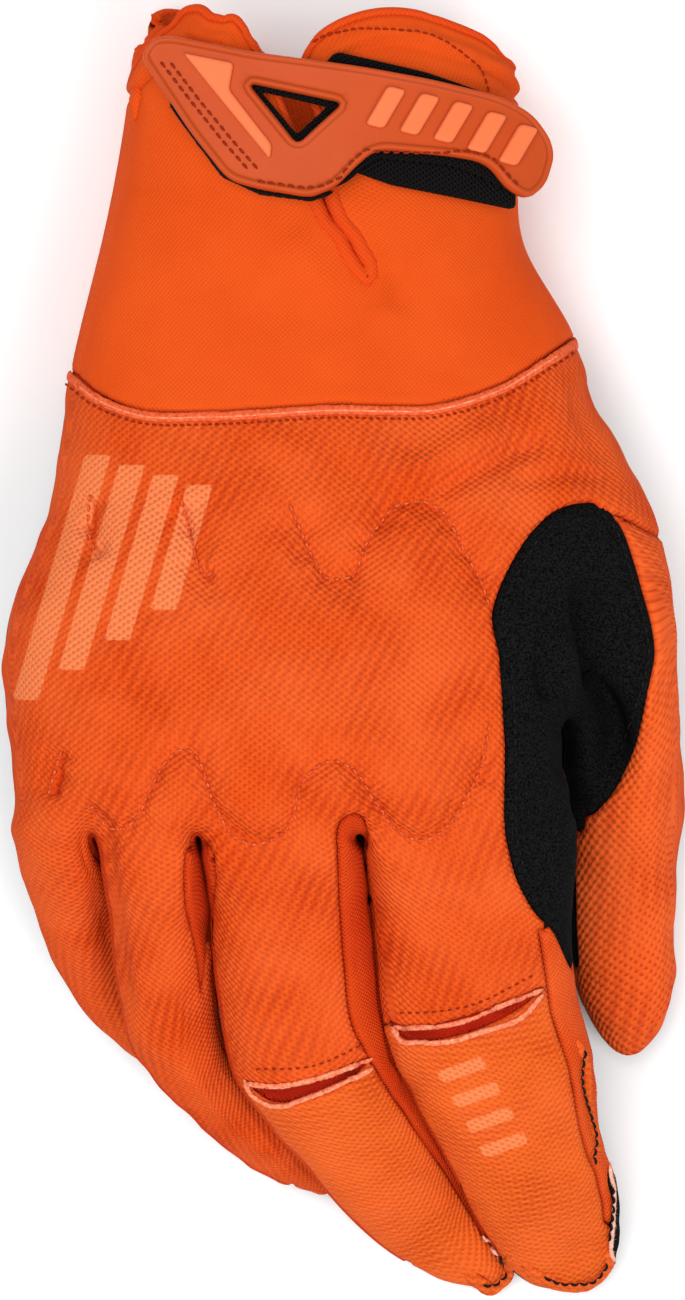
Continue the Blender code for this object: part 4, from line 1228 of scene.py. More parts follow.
def grain_group():
    """Fine grain of a given size, plain and with more contrast."""
    made, takes, gives = group(
        "Grain",
        (("Place", "NodeSocketVector", None), ("Fineness", "NodeSocketFloat", 3000.0),
         ("Detail", "NodeSocketFloat", 3.0), ("Contrast", "NodeSocketFloat", 2.4),
         ("Offset", "NodeSocketFloat", -0.7)),
        (("Grain", "NodeSocketFloat"), ("Patches", "NodeSocketFloat")),
    )
    grain = step(made, "ShaderNodeTexNoise", takes["Place"], None, takes["Fineness"],
                 takes["Detail"]).outputs["Fac"]
    made.links.new(grain, gives["Grain"])
    made.links.new(sums(made, "MULTIPLY_ADD", grain, takes["Contrast"], takes["Offset"],
                        clamp=True), gives["Patches"])
    return made


GRAIN = grain_group()


def suede_material():
    """Brushed suede: a fine nap with broad marks of the brush."""
    made, tree, surface = blank_material("black suede", 0.95, 0.03)
    place = step(tree, "ShaderNodeTexCoord").outputs["Object"]
    nap = placed(tree, GRAIN, {"Place": place, "Fineness": 2600.0, "Detail": 4.0, "Contrast": 3.6,
                               "Offset": -1.3})["Patches"]
    brush = placed(tree, GRAIN, {"Place": place, "Fineness": 140.0})["Grain"]
    colour = tint(tree, nap, (0.0008, 0.0008, 0.0009), (0.0105, 0.0103, 0.0105))
    colour = tint(tree, sums(tree, "MULTIPLY", brush, 0.3), colour, (0.003, 0.003, 0.0031))
    tree.links.new(colour, surface.inputs["Base Color"])
    raised(tree, surface, nap, 0.4, 0.00012)
    return made


suede = suede_material()
for region in ("palm_panel", "thumb_palm", "web_patch"):
    cut_panel(region, suede, PALM_WALL, "black_suede")


# --- Cuff -------------------------------------------------------------------------------------
# Neoprene foam with a fine knit glued on both faces, cut with a wavy mouth and a slit over the
# wrist. It is sewn to the hand along a folded seam, and its open edges are rolled and bound.

CUFF_WALL = 0.0024
BINDING_RADIUS = 0.0013
BINDING_OUT = 0.0003
cuff_cloth = knit_material("cuff neoprene", (0.66, 0.070, 0.0068), (0.42, 0.026, 0.003),
                           (0.74, 0.092, 0.011), 0.0008, 0.0008, 0.0, 0.00010, 0.0, 0.35)
cut_panel("cuff_shell", cuff_cloth, CUFF_WALL, "cuff_neoprene")


def sweep(line, up, width, height, sides=10, closed=True):
    """A tube of oval section along a line, its height along the given directions."""
    ahead = np.roll(line, -1, axis=0) - np.roll(line, 1, axis=0)
    if not closed:
        ahead[0], ahead[-1] = line[1] - line[0], line[-1] - line[-2]
    ahead /= np.linalg.norm(ahead, axis=1)[:, None]
    across = np.cross(ahead, up)
    across /= np.linalg.norm(across, axis=1)[:, None]
    top = np.cross(across, ahead)
    points = []
    for k in range(sides):
        a = 2 * math.pi * k / sides
        points.append(line + across * math.cos(a) * np.reshape(width, (-1, 1))
                      + top * math.sin(a) * np.reshape(height, (-1, 1)))
    points = np.stack(points, axis=1).reshape(-1, 3)
    faces = []
    count = len(line)
    for i in range(count if closed else count - 1):
        n = (i + 1) % count
        for k in range(sides):
            m = (k + 1) % sides
            faces.append((i * sides + k, i * sides + m, n * sides + m, n * sides + k))
    if not closed:
        faces.append(tuple(reversed(range(sides))))
        faces.append(tuple(range((count - 1) * sides, count * sides)))
    return points, faces


rim_line = skin[mouth_run]
rim_up = normals[mouth_run]
ahead = np.roll(rim_line, -1, axis=0) - np.roll(rim_line, 1, axis=0)
out = np.cross(ahead, rim_up)
out /= np.linalg.norm(out, axis=1)[:, None]
tube_line = rim_line - rim_up * CUFF_WALL * 0.5 + out * BINDING_OUT
tube_line[:, 2] = np.maximum(tube_line[:, 2], BINDING_RADIUS)
# the binding is thicker along the slit than round the mouth
by_slit = np.clip((drawn(tube_line)[:, 1] - 110) / 40, 0, 1)
half_width, half_height = 0.0007 + 0.0008 * by_slit, 0.0010 + 0.0006 * by_slit
points, faces = sweep(tube_line, rim_up, half_width, half_height)
binding_cloth = knit_material("binding knit", (0.66, 0.058, 0.007), (0.46, 0.026, 0.003), ORANGE,
                              0.0008, 0.0008, 0.0, 0.0001, 0.0, 0.4)
trim_values(new_piece("cuff_binding", points, faces, binding_cloth, ["cuff_binding"],
                      "cuff_binding"))


# --- Seam trim, frayed edges and stitches -----------------------------------------------------
# The cuff's seam is covered by a folded pale strip. Cut knit edges fray into pale fibres, and
# the panels are sewn with orange thread on the knit and black thread on suede and side seams.

skin_tree = BVHTree.FromPolygons([tuple(p) for p in skin], [tuple(map(int, q)) for q in quads])
seen_points = np.flatnonzero(normals[:, 2] > -0.1)
seen_tree = tree_of(np.pad(places[seen_points], ((0, 0), (0, 1))))
# a drop between two points of a line that means that it has run off an edge
EDGE_FALL = 0.0035


def spaced(line, gap):
    """Places at an even spacing along a line in the drawing."""
    line = np.asarray(line, dtype=float)
    reach = np.concatenate([[0], np.cumsum(np.linalg.norm(np.diff(line, axis=0), axis=1))])
    marks = np.linspace(0, reach[-1], max(3, round(reach[-1] / gap) + 1))
    return np.stack([np.interp(marks, reach, line[:, k]) for k in (0, 1)], axis=1)


def laid(line, tree=skin_tree):
    """Points on the glove at places of the drawing, and the directions out of it."""
    found, ups = [], []
    for u, v in line:
        aim = Vector(((u - MIDDLE_ACROSS) * STEP, -(v - MIDDLE_DOWN) * STEP, DRAWN_AT - EYE[2]))
        hit, up, _, _ = tree.ray_cast(Vector(EYE), aim)
        if hit is None:
            near = seen_points[seen_tree.find(Vector((u, v, 0.0)))[1]]
            hit = Vector(EYE) + aim * ((EYE[2] - skin[near, 2]) / (EYE[2] - DRAWN_AT))
            up = Vector((0.0, 0.0, 1.0))
        found.append(tuple(hit))
        ups.append(tuple(up if up.z > 0 else -up))
    found, ups = np.array(found), np.array(ups)
    # a line that runs off an edge keeps its height there
    top = int(found[:, 2].argmax())
    for way in (range(top + 1, len(found)), range(top - 1, -1, -1)):
        last = found[top, 2]
        for k in way:
            if last - found[k, 2] > EDGE_FALL:
                ray = found[k] - EYE
                found[k] = EYE + ray * ((last - EYE[2]) / ray[2])
                ups[k] = (0.0, 0.0, 1.0)
            last = found[k, 2]
    for _ in range(3):
        found[1:-1] = (found[:-2] + 2 * found[1:-1] + found[2:]) / 4
        ups[1:-1] = (ups[:-2] + 2 * ups[1:-1] + ups[2:]) / 4
    return found, ups / np.linalg.norm(ups, axis=1)[:, None]


def tapered(count, reach, least):
    """Shares that run out towards both ends of a row of points."""
    steps = np.arange(count)
    return np.clip(np.minimum(steps, steps[::-1]) / reach + least, 0, 1)


def lumpy(spots, amount, fineness):
    """Shares that make a roll thicker and thinner along its line."""
    return 1 + amount * np.array([noise.noise(Vector(p) * fineness) for p in spots])


def add_tube(points, faces, more, rings):
    """Adds a tube to the ones of the same piece before it."""
    faces += [tuple(v + len(points) for v in ring) for ring in rings]
    points += list(more)


def stitches(name, runs, material, slot, length=7, gap=3, thick=0.00024, lift=0.0001,
             tree=skin_tree):
    """Short stitches of thread along lines in the drawing."""
    points, faces = [], []
    for run in runs:
        spots, ups = laid(spaced(run, 1.0), tree)
        for first in range(0, len(spots) - length, length + gap):
            picked = np.linspace(first, first + length, 5).astype(int)
            arch = np.array([-0.6, 0.5, 0.8, 0.5, -0.6]) * thick + lift
            bead = np.array([0.4, 0.9, 1.0, 0.9, 0.4]) * thick
            more, rings = sweep(spots[picked] + ups[picked] * arch[:, None], ups[picked], bead,
                                bead * 0.8, 6, False)
            add_tube(points, faces, more, rings)
    return new_piece(name, points, faces, material, [], slot)


FIBRE_HALF_WIDTH = 0.00005
FIBRE_HEIGHT = 0.00008


def frayed(name, runs, material, slot, width=0.0004, fibres=1.2, lift=0.0002, reach=0.0007):
    """Cut knit edges: a lumpy roll of yarn ends with loose fibres."""
    random = np.random.default_rng(11)
    points, faces = [], []
    for run in runs:
        spots, ups = laid(spaced(run, 1.6))
        count = len(spots)
        lumps = lumpy(spots, 0.35, 1700)
        ends = tapered(count, 4, 0.25)
        more, rings = sweep(spots + ups * lift, ups, width * lumps * ends,
                            width * 0.75 * lumps * ends, 8, False)
        add_tube(points, faces, more, rings)
        ahead = np.gradient(spots, axis=0)
        ahead /= np.linalg.norm(ahead, axis=1)[:, None]
        across = np.cross(ahead, ups)
        for _ in range(int(count * fibres)):
            k = random.integers(0, count)
            way = (across[k] * random.normal(0, 1) + ups[k] * abs(random.normal(0, 0.7))
                   + ahead[k] * random.normal(0, 0.6))
            way /= np.linalg.norm(way)
            start = spots[k] + ups[k] * lift + way * width * 0.5
            tip = start + way * reach * random.uniform(0.4, 1.0)
            wide = np.cross(way, ups[k] + 0.01) * FIBRE_HALF_WIDTH
            first = len(points)
            points += [start + wide, start - wide, start + ups[k] * FIBRE_HEIGHT, tip]
            faces += [(first, first + 1, first + 2), (first, first + 3, first + 1),
                      (first + 1, first + 3, first + 2), (first + 2, first + 3, first)]
    return new_piece(name, points, faces, material, [], slot)


def thread_material(name, light, dark, fineness=3000.0):
    """Twisted yarn, lighter where it stands out."""
    made, tree, surface = blank_material(name, 0.75)
    place = step(tree, "ShaderNodeTexCoord").outputs["Object"]
    twist = placed(tree, GRAIN, {"Place": place, "Fineness": fineness})
    tree.links.new(tint(tree, twist["Patches"], dark, light), surface.inputs["Base Color"])
    raised(tree, surface, twist["Grain"], 0.5, 0.0001)
    return made


orange_thread = thread_material("orange thread", (0.80, 0.17, 0.055), (0.42, 0.022, 0.004), 2200.0)
dark_thread = thread_material("dark thread", (0.34, 0.030, 0.006), (0.20, 0.012, 0.003))
black_thread = thread_material("black thread", (0.014, 0.012, 0.012), (0.002, 0.002, 0.002))
pale_fibre = thread_material("pale fibres", (0.88, 0.34, 0.19), (0.66, 0.10, 0.035), 1800.0)
white_fibre = thread_material("white fibres", (0.86, 0.62, 0.52), (0.74, 0.22, 0.10), 1800.0)
strip_cloth = thread_material("seam strip", (0.80, 0.15, 0.050), (0.58, 0.050, 0.010), 1500.0)

# the folded strip round the whole seam between cuff and hand
a, b, _ = border_edges(quads[region_of == "cuff_shell"])
seam_run = np.array(min((run for run in loops_of(a, b) if len(run) > 30),
                        key=lambda run: skin[run, 1].mean()))
seam_line, seam_up = skin[seam_run], normals[seam_run]
for _ in range(4):
    seam_line = (np.roll(seam_line, 1, axis=0) + 2 * seam_line + np.roll(seam_line, -1, axis=0)) / 4
    seam_up = (np.roll(seam_up, 1, axis=0) + 2 * seam_up + np.roll(seam_up, -1, axis=0)) / 4
ahead = np.roll(seam_line, -1, axis=0) - np.roll(seam_line, 1, axis=0)
out = np.cross(ahead, seam_up)
out *= -np.sign(out[:, 1:2]) / np.linalg.norm(out, axis=1)[:, None]
STRIP_HALF_WIDTH = 0.00085
STRIP_HALF_HEIGHT = 0.00040
strip_line = seam_line + out * STRIP_HALF_WIDTH + seam_up * 0.0001
strip_line[:, 2] = np.maximum(strip_line[:, 2], STRIP_HALF_HEIGHT)
lumps = lumpy(strip_line, 0.22, 900)
points, faces = sweep(strip_line, seam_up, STRIP_HALF_WIDTH * lumps, STRIP_HALF_HEIGHT * lumps)
new_piece("cuff_seam_strip", points, faces, strip_cloth, [], "mesh_knit")
under_seam = curved(((66, 384), (98, 408), (145, 424), (200, 425), (250, 423), (330, 418),
                     (390, 419), (440, 417), (502, 398), (574, 353)), 5)
stitches("cuff_seam_stitches", [under_seam], dark_thread, "mesh_knit", 3, 4, 0.00022)
along_seam = CUFF_SEAM[(CUFF_SEAM[:, 0] > 76) & (CUFF_SEAM[:, 0] < 562)]
frayed("cuff_seam_fuzz", [along_seam + np.array([0, 6])], pale_fibre, "mesh_knit", 0.00018, 1.0,
       0.0004, 0.0005)

# thread of the quilting, and the frayed rims and stitches of the flex slots
stitches("knuckle_stitches", [curved(line) for line in QUILTING], orange_thread, "mesh_knit")
SLOT_RIMS = (
    ((246, 1083), (278, 1086), (315, 1079), (345, 1069), (372, 1058)),
    ((245, 1079), (250, 1092), (267, 1104), (287, 1105), (315, 1096), (343, 1084), (373, 1068)),
    ((393, 1028), (425, 1027), (460, 1022), (500, 1006), (543, 989)),
    ((391, 1026), (401, 1040), (416, 1043), (451, 1041), (480, 1032), (519, 1019), (543, 994)),
)
frayed("slot_edges", [curved(line) for line in SLOT_RIMS], pale_fibre, "mesh_knit", 0.00050, 2.0)
stitches("slot_stitches", [curved(((400, 1013), (440, 1011), (480, 1002), (535, 974))),
                           curved(((256, 1069), (300, 1068), (330, 1060), (362, 1044)))],
         dark_thread, "mesh_knit", 4, 4, 0.00018)

# outseams at the fingertips: turned lips of knit with black thread and white frayed edges
LIPS = (
    (((577, 1040), (587, 1065), (589, 1100), (595, 1130), (600, 1152)), 0.0009),
    (((524, 1262), (532, 1272), (544, 1279), (559, 1285), (576, 1287), (592, 1284), (604, 1274),
      (610, 1262), (608, 1250)), 0.0017),
    (((466, 1272), (480, 1283), (490, 1287), (500, 1280), (507, 1268), (509, 1256)), 0.0016),
)
LIP_HALF_HEIGHT = 0.0006
points, faces = [], []
for line, width in LIPS:
    spots, ups = laid(spaced(curved(line), 2.0))
    thick = lumpy(spots, 0.2, 800) * np.sqrt(tapered(len(spots), 9, 0.06))
    more, rings = sweep(spots, ups, width * thick, LIP_HALF_HEIGHT * thick, closed=False)
    add_tube(points, faces, more, rings)
trim_values(new_piece("outseam_lips", points, faces, forefinger_cloth, [], "stretch_knit"))
BLACK_SEAMS = (
    ((582, 1050), (579, 1074), (582, 1095), (591, 1127), (593, 1141), (591, 1156), (593, 1165)),
    ((609, 1186), (610, 1207), (608, 1225), (606, 1245)),
    ((544, 1274), (559, 1280), (576, 1281), (591, 1279), (601, 1269), (607, 1256)),
    ((503, 1254), (505, 1264), (501, 1275), (492, 1282), (482, 1282)),
)
stitches("outseam_stitches", [curved(line) for line in BLACK_SEAMS], black_thread, "stretch_knit",
         8, 1, 0.00030, 0.0007)
# the palm's suede edge and white yarn ends show beside the forefinger's tip
PALM_EDGE_SINK = 0.0008
spots, ups = laid(spaced(curved(((603, 1166), (610, 1180), (614, 1200), (614, 1220), (613, 1245),
                                 (612, 1266))), 2.0))
taper = np.sqrt(tapered(len(spots), 9, 0.05))
points, faces = sweep(spots - np.array([0, 0, PALM_EDGE_SINK]), ups, 0.0016 * taper,
                      0.0007 * taper, closed=False)
new_piece("palm_edge", points, faces, suede, [], "black_suede")
frayed("outseam_fuzz", [curved(((607, 1164), (609, 1178), (612, 1190), (611, 1225), (609, 1250),
                                (614, 1262))), curved(((485, 1234), (493, 1246), (500, 1254)))],
       white_fibre, "mesh_knit", 0.00042, 2.6, 0.0005, 0.0009)

# the patch is sewn down inside its edge
turn = np.roll(PATCH, -1, axis=0) - np.roll(PATCH, 1, axis=0)
turn /= np.linalg.norm(turn, axis=1)[:, None]
side_way = np.stack([-turn[:, 1], turn[:, 0]], axis=1)
if not inside(PATCH[:1] + side_way[:1] * 5, PATCH)[0]:
    side_way = -side_way
PATCH_INSET = 9
inset = PATCH + side_way * PATCH_INSET
inset = np.concatenate([inset[(PATCH[:, 1] < 790) & (PATCH[:, 0] > 570)][::-1],
                        inset[(PATCH[:, 1] < 880) & (PATCH[:, 0] <= 570)]])
down = inset[np.argsort(inset[:, 1])]
stitches("patch_stitches", [down[down[:, 0] <= 555], down[down[:, 0] > 600]], black_thread,
         "black_suede", 8, 3, 0.00024)

# the side strips' bottoms close the gaps between the fingers and in the web
for name, line, width, height, cloth, slot in (
        ("side_strip_bottom_1", ((88, 826), (96, 850), (100, 872)), 0.0022, 0.0270, side_cloth,
         "stretch_knit"),
        ("side_strip_bottom_2", ((195, 832), (200, 852), (204, 876)), 0.0026, 0.0320, side_cloth,
         "stretch_knit"),
        # the gap between middle finger and forefinger is closed with the dark slot cloth: painted
        # shade of the pit there
        ("side_strip_bottom_3", ((352, 830), (362, 848), (367, 880), (371, 915)), 0.0028, 0.0300,
         shaded_slot_cloth, "stretch_knit"),
        ("web_bottom", ((577, 712), (578, 750), (579, 792)), 0.0026, 0.0120, suede, "black_suede")):
    spots, _ = laid(spaced(curved(line), 3.0))
    spots[:, 2] = height
    taper = np.sqrt(tapered(len(spots), 4, 0.1))
    points, faces = sweep(spots, np.tile([0.0, 0.0, 1.0], (len(spots), 1)), width * taper,
                          0.0012 * taper, closed=False)
    trim_values(new_piece(name, points, faces, cloth, [], slot))

# the left flap's rolled hem lies in front of its edge
spots, ups = laid(spaced(curved(((136, 120), (137, 98), (146, 76), (163, 61), (190, 54), (220, 52),
                                 (242, 54))), 2.0))
taper = np.sqrt(tapered(len(spots), 12, 0.05))
points, faces = sweep(spots + ups * 0.0002, ups, 0.0019 * taper, 0.0011 * taper, 12, False)
trim_values(new_piece("flap_hem", points, faces, cuff_cloth, [], "cuff_neoprene"))
# the hem's stitches in dark thread along its groove: real stitching whose dark line is also painted
# shade of the groove
stitches("hem_stitches", [curved(((313, 42), (326, 35), (345, 31), (368, 29), (428, 34), (472, 60),
                                  (485, 80), (489, 98)))],
         dark_thread, "cuff_neoprene", 6, 2, 0.00020)


# --- Closing strap ----------------------------------------------------------------------------
# A moulded rubber tab with a raised rim and pale raised grips, sewn to the cuff at its left end.
# Black hook fabric is glued under it and grips the black loop patch sewn on the right flap.

TAB_LENGTH = 0.0669
TAB_WIDTH = 0.0275
TAB_THICKNESS = 0.0020
LOOP_THICKNESS = 0.0012
HOOK_THICKNESS = 0.0010
RELIEF_HEIGHT = 0.0010
RIM_IN = 0.0006
RIM_WIDTH = 0.00042
RIM_HEIGHT = 0.0006
STRAP_CLEARANCE = 0.0004
TAB_PLACE = (0.212, 0.845)
TAB_OUTLINE = (
    (0.000, 0.877), (0.035, 0.994), (0.085, 1.000), (0.292, 0.889), (0.541, 0.802),
    (0.708, 0.728), (0.873, 0.636), (0.948, 0.537), (0.990, 0.389), (1.000, 0.278),
    (0.980, 0.099), (0.940, 0.000), (0.890, 0.062), (0.840, 0.222), (0.763, 0.253),
    (0.579, 0.290), (0.529, 0.179), (0.484, 0.056), (0.429, 0.000), (0.404, 0.000),
    (0.282, 0.056), (0.222, 0.105), (0.132, 0.389),
)
TAB_WINDOW = ((0.272, 0.700), (0.500, 0.575), (0.392, 0.320))
BLADE_OUTLINE = ((0.112, 0.889), (0.239, 0.821), (0.227, 0.660), (0.332, 0.315), (0.327, 0.222))
LOOP_OUTLINE = (
    (0.456, 0.833), (0.484, 0.907), (0.711, 0.784), (0.885, 0.648), (0.935, 0.549),
    (0.933, -0.049), (0.623, 0.086), (0.529, 0.167), (0.486, 0.253),
)
HOOK_OUTLINE = (
    (0.262, 0.858), (0.541, 0.772), (0.835, 0.623), (0.915, 0.525), (0.925, 0.031),
    (0.835, 0.142), (0.761, 0.204), (0.579, 0.241), (0.511, 0.093), (0.436, 0.019),
    (0.292, 0.074),
)
HOOK_WINDOW = ((0.300, 0.655), (0.463, 0.558), (0.389, 0.390))
BARS = ((0.600, 0.545), (0.678, 0.505), (0.756, 0.460), (0.834, 0.405), (0.908, 0.335))
BAR_LENGTH = 0.0075
BAR_WIDTH = 0.0030
BAR_SLANT = 28.0
bed_start = at(TAB_PLACE[0], TAB_PLACE[1], 0.0)


def bed_terms(x, y):
    """Terms of the bed's height: a cubic along the tab, a slope across it."""
    a = (x - bed_start[0]) / TAB_LENGTH - 0.5
    b = (y - bed_start[1]) / TAB_WIDTH - 0.5
    return np.stack([np.ones_like(a), a, a * a, a ** 3, b], axis=-1)


# the strap's smooth bed over the whole cuff, across the slit, clear of its back
closed_cage = outward(cage_points, [face for _, face in cage_faces])
closed_skin, closed_quads = smooth_mesh(cage_points, closed_cage, 2)
cuff_tree = BVHTree.FromPolygons([tuple(p) for p in closed_skin],
                                 [tuple(map(int, q)) for q in closed_quads])
spots, heights = [], []
for a in np.linspace(0.08, 0.80, 25):
    for b in np.linspace(-0.1, 0.95, 9):
        spot = (bed_start[0] + a * TAB_LENGTH, bed_start[1] + b * TAB_WIDTH)
        hit = cuff_tree.ray_cast(Vector((*spot, 1.0)), Vector((0, 0, -1)))
        if hit[0]:
            spots.append(spot)
            heights.append(hit[0].z)
spots, heights = np.array(spots), np.array(heights)
terms = bed_terms(spots[:, 0], spots[:, 1])
bed = np.linalg.lstsq(terms, heights, rcond=None)[0]
bed[0] += (heights - terms @ bed).max()
SMALL_STEP = 1e-4


def on_bed(flat, lift):
    """Points at heights above the bed, measured square to it."""
    x, y = flat[:, 0], flat[:, 1]
    z = bed_terms(x, y) @ bed
    slope_x = (bed_terms(x + SMALL_STEP, y) @ bed - z) / SMALL_STEP
    slope_y = (bed_terms(x, y + SMALL_STEP) @ bed - z) / SMALL_STEP
    up = np.stack([-slope_x, -slope_y, np.ones_like(z)], axis=1)
    up /= np.linalg.norm(up, axis=1)[:, None]
    return np.stack([x, y, z], axis=1) + up * np.reshape(lift, (-1, 1)) + SET_OFF


def tab_points(shares):
    """Flat points from shares of the tab's length and width."""
    shares = np.asarray(shares, dtype=float)
    return bed_start[:2] + shares * np.array([TAB_LENGTH, TAB_WIDTH])


def rounded(outline, radius, count=5):
    """An outline whose corners are cut round."""
    found = []
    for before, corner, after in zip(np.roll(outline, 1, axis=0), outline,
                                     np.roll(outline, -1, axis=0)):
        to_before, to_after = before - corner, after - corner
        cut = min(radius, np.linalg.norm(to_before) * 0.45, np.linalg.norm(to_after) * 0.45)
        p = corner + to_before / np.linalg.norm(to_before) * cut
        q = corner + to_after / np.linalg.norm(to_after) * cut
        for t in np.linspace(0, 1, count):
            found.append(p * (1 - t) ** 2 + corner * 2 * t * (1 - t) + q * t * t)
    return np.array(found)


def even(outline, spacing):
    """An outline with points at an even spacing."""
    closed = np.concatenate([outline, outline[:1]])
    lengths = np.linalg.norm(np.diff(closed, axis=0), axis=1)
    reach = np.concatenate([[0], np.cumsum(lengths)])
    marks = np.linspace(0, reach[-1], max(8, int(reach[-1] / spacing)), endpoint=False)
    return np.stack([np.interp(marks, reach, closed[:, k]) for k in (0, 1)], axis=1)


def moulded(name, outline, windows, lift, profile, material, node_names, slot, spacing=0.0005,
            rings=(0.0002, 0.0005, 0.0009, 0.0013, 0.0018)):
    """A flat piece bent over the cuff whose height follows the distance to its edges."""
    lines = [even(outline, spacing)] + [even(w, spacing) for w in windows]

    def edge_distance(spots):
        return np.min([line_distance(spots, np.concatenate([line, line[:1]]))[0] for line in lines],
                      axis=0)

    def within(spots):
        found = inside(spots, lines[0])
        for line in lines[1:]:
            found &= ~inside(spots, line)
        return found

    free = []
    for line in lines:
        ahead = np.roll(line, -1, axis=0) - np.roll(line, 1, axis=0)
        left = np.stack([-ahead[:, 1], ahead[:, 0]], axis=1)
        left /= np.linalg.norm(left, axis=1)[:, None]
        for ring in rings:
            for sign in (1, -1):
                spots = line + left * ring * sign
                spots = spots[within(spots)]
                if len(spots):
                    free.append(spots[edge_distance(spots) > ring * 0.93])
    low, high = lines[0].min(axis=0), lines[0].max(axis=0)
    grid = np.stack(np.meshgrid(np.arange(low[0], high[0], spacing * 1.6),
                                np.arange(low[1], high[1], spacing * 1.6)), axis=-1).reshape(-1, 2)
    grid = grid[within(grid)]
    if len(grid):
        free.append(grid[edge_distance(grid) > rings[-1] + spacing * 0.7])
    spots, edges = [], []
    for line in lines:
        first = len(spots)
        spots.extend(line)
        edges += [(first + k, first + (k + 1) % len(line)) for k in range(len(line))]
    spots.extend(np.concatenate(free))
    got = delaunay_2d_cdt([Vector(p) for p in spots], edges, [], 0, 1e-7)
    flat = np.array([tuple(p) for p in got[0]])
    tris = np.array([tuple(f) for f in got[2]])
    tris = tris[within(flat[tris].mean(axis=1))]
    used = np.unique(tris)
    number = np.full(len(flat), -1)
    number[used] = np.arange(len(used))
    flat, tris = flat[used], number[tris]
    a, b, c = flat[tris[:, 0]], flat[tris[:, 1]], flat[tris[:, 2]]
    turn = (b[:, 0] - a[:, 0]) * (c[:, 1] - a[:, 1]) - (b[:, 1] - a[:, 1]) * (c[:, 0] - a[:, 0])
    tris = np.where(turn[:, None] < 0, tris[:, ::-1], tris)
    away = edge_distance(flat)
    top = on_bed(flat, lift + profile(away))
    low_side = on_bed(flat, np.full(len(flat), lift))
    p, q = tris.ravel(), np.roll(tris, -1, axis=1).ravel()
    alone = ~np.isin(p * len(flat) + q, q * len(flat) + p)
    count = len(flat)
    faces = [tuple(t) for t in tris] + [tuple(t[::-1] + count) for t in tris]
    faces += [(q_, p_, p_ + count, q_ + count) for p_, q_ in zip(p[alone], q[alone])]
    obj = new_piece(name, np.concatenate([top, low_side]), faces, material, node_names, slot)
    keep(obj, "edge_mm", np.concatenate([away, away]) * 1000)
    return obj


def rubber_material(name, colour, deep, groove_shade=0.0):
    """Moulded rubber with a fine grain, cloudy, with painted shade in the groove along its rim."""
    made, tree, surface = blank_material(name, 0.55, 0.15)
    place = step(tree, "ShaderNodeTexCoord").outputs["Object"]
    grain = placed(tree, GRAIN, {"Place": place, "Fineness": 3200.0})["Grain"]
    cloud = placed(tree, GRAIN, {"Place": place, "Fineness": 120.0})["Grain"]
    shaded = tint(tree, sums(tree, "MULTIPLY", cloud, 0.5), colour, deep)
    if groove_shade:
        # painted shade in the groove inside the tab's raised rim, about 1.2 mm from its edge
        groove = sums(tree, "ABSOLUTE", sums(tree, "SUBTRACT", kept_value(tree, "edge_mm"), 1.2))
        groove = sums(tree, "MULTIPLY_ADD", groove, -3.5, 0.9, clamp=True)
        shaded = tint(tree, sums(tree, "MULTIPLY", groove, groove_shade), shaded,
                      tuple(c * 0.45 for c in deep))
    tree.links.new(shaded, surface.inputs["Base Color"])
    tree.links.new(sums(tree, "MULTIPLY_ADD", grain, 0.2, 0.42), surface.inputs["Roughness"])
    raised(tree, surface, grain, 0.35, 0.00006)
    return made


tab_rubber = rubber_material("tab rubber", (0.53, 0.070, 0.011), (0.40, 0.045, 0.007), 0.6)
pale_rubber = rubber_material("pale rubber", (0.79, 0.175, 0.060), (0.72, 0.13, 0.040))


def tape_material():
    """Black woven tape with a small square weave and painted shade in its hollows."""
    made, tree, surface = blank_material("black woven tape", 0.9)
    place = step(tree, "ShaderNodeTexCoord").outputs["Object"]
    cells = placed(tree, KNIT, {"Place": place, "Cell width": 0.0011, "Cell length": 0.0009,
                                "Slant": 0.25})
    # painted shade in the weave's hollows
    colour = tint(tree, cells["Hollow"], (0.009, 0.0075, 0.0075), (0.001, 0.0009, 0.0009))
    tree.links.new(colour, surface.inputs["Base Color"])
    raised(tree, surface, cells["Height"], 0.9, 0.00035)
    return made


hook_cloth = tape_material()

loop_lift = STRAP_CLEARANCE
hook_lift = loop_lift + LOOP_THICKNESS + STRAP_CLEARANCE
tab_lift = hook_lift + HOOK_THICKNESS + STRAP_CLEARANCE


def rounding(away, reach):
    """A quarter circle from 0 at the edge to 1 at its reach."""
    return np.sqrt(np.clip(1 - (1 - np.clip(away / reach, 0, 1)) ** 2, 0, 1))


def soft_edge(height, reach):
    """A profile that comes down round at the edge."""
    return lambda away: height * (0.55 + 0.45 * rounding(away, reach))


def tab_profile(away):
    """The tab's height: a flat floor with a raised rim just inside its round edge."""
    rim = np.exp(-((away - RIM_IN) / RIM_WIDTH) ** 2)
    return TAB_THICKNESS * (0.30 + 0.35 * rounding(away, 0.0005)) + RIM_HEIGHT * rim


moulded("loop_patch", rounded(tab_points(LOOP_OUTLINE), 0.001), [], loop_lift,
        soft_edge(LOOP_THICKNESS, 0.0005), hook_cloth, ["loop_patch"], "hook_and_loop")
moulded("tab_hook_backing", rounded(tab_points(HOOK_OUTLINE), 0.001),
        [rounded(tab_points(HOOK_WINDOW), 0.0006)], hook_lift, soft_edge(HOOK_THICKNESS, 0.0004),
        hook_cloth, ["tab_hook_backing"], "hook_and_loop")
tab_piece = moulded("closure_tab", rounded(tab_points(TAB_OUTLINE), 0.0025),
                    [rounded(tab_points(TAB_WINDOW), 0.0012)], tab_lift, tab_profile, tab_rubber,
                    ["closure_tab"], "tab_rubber")
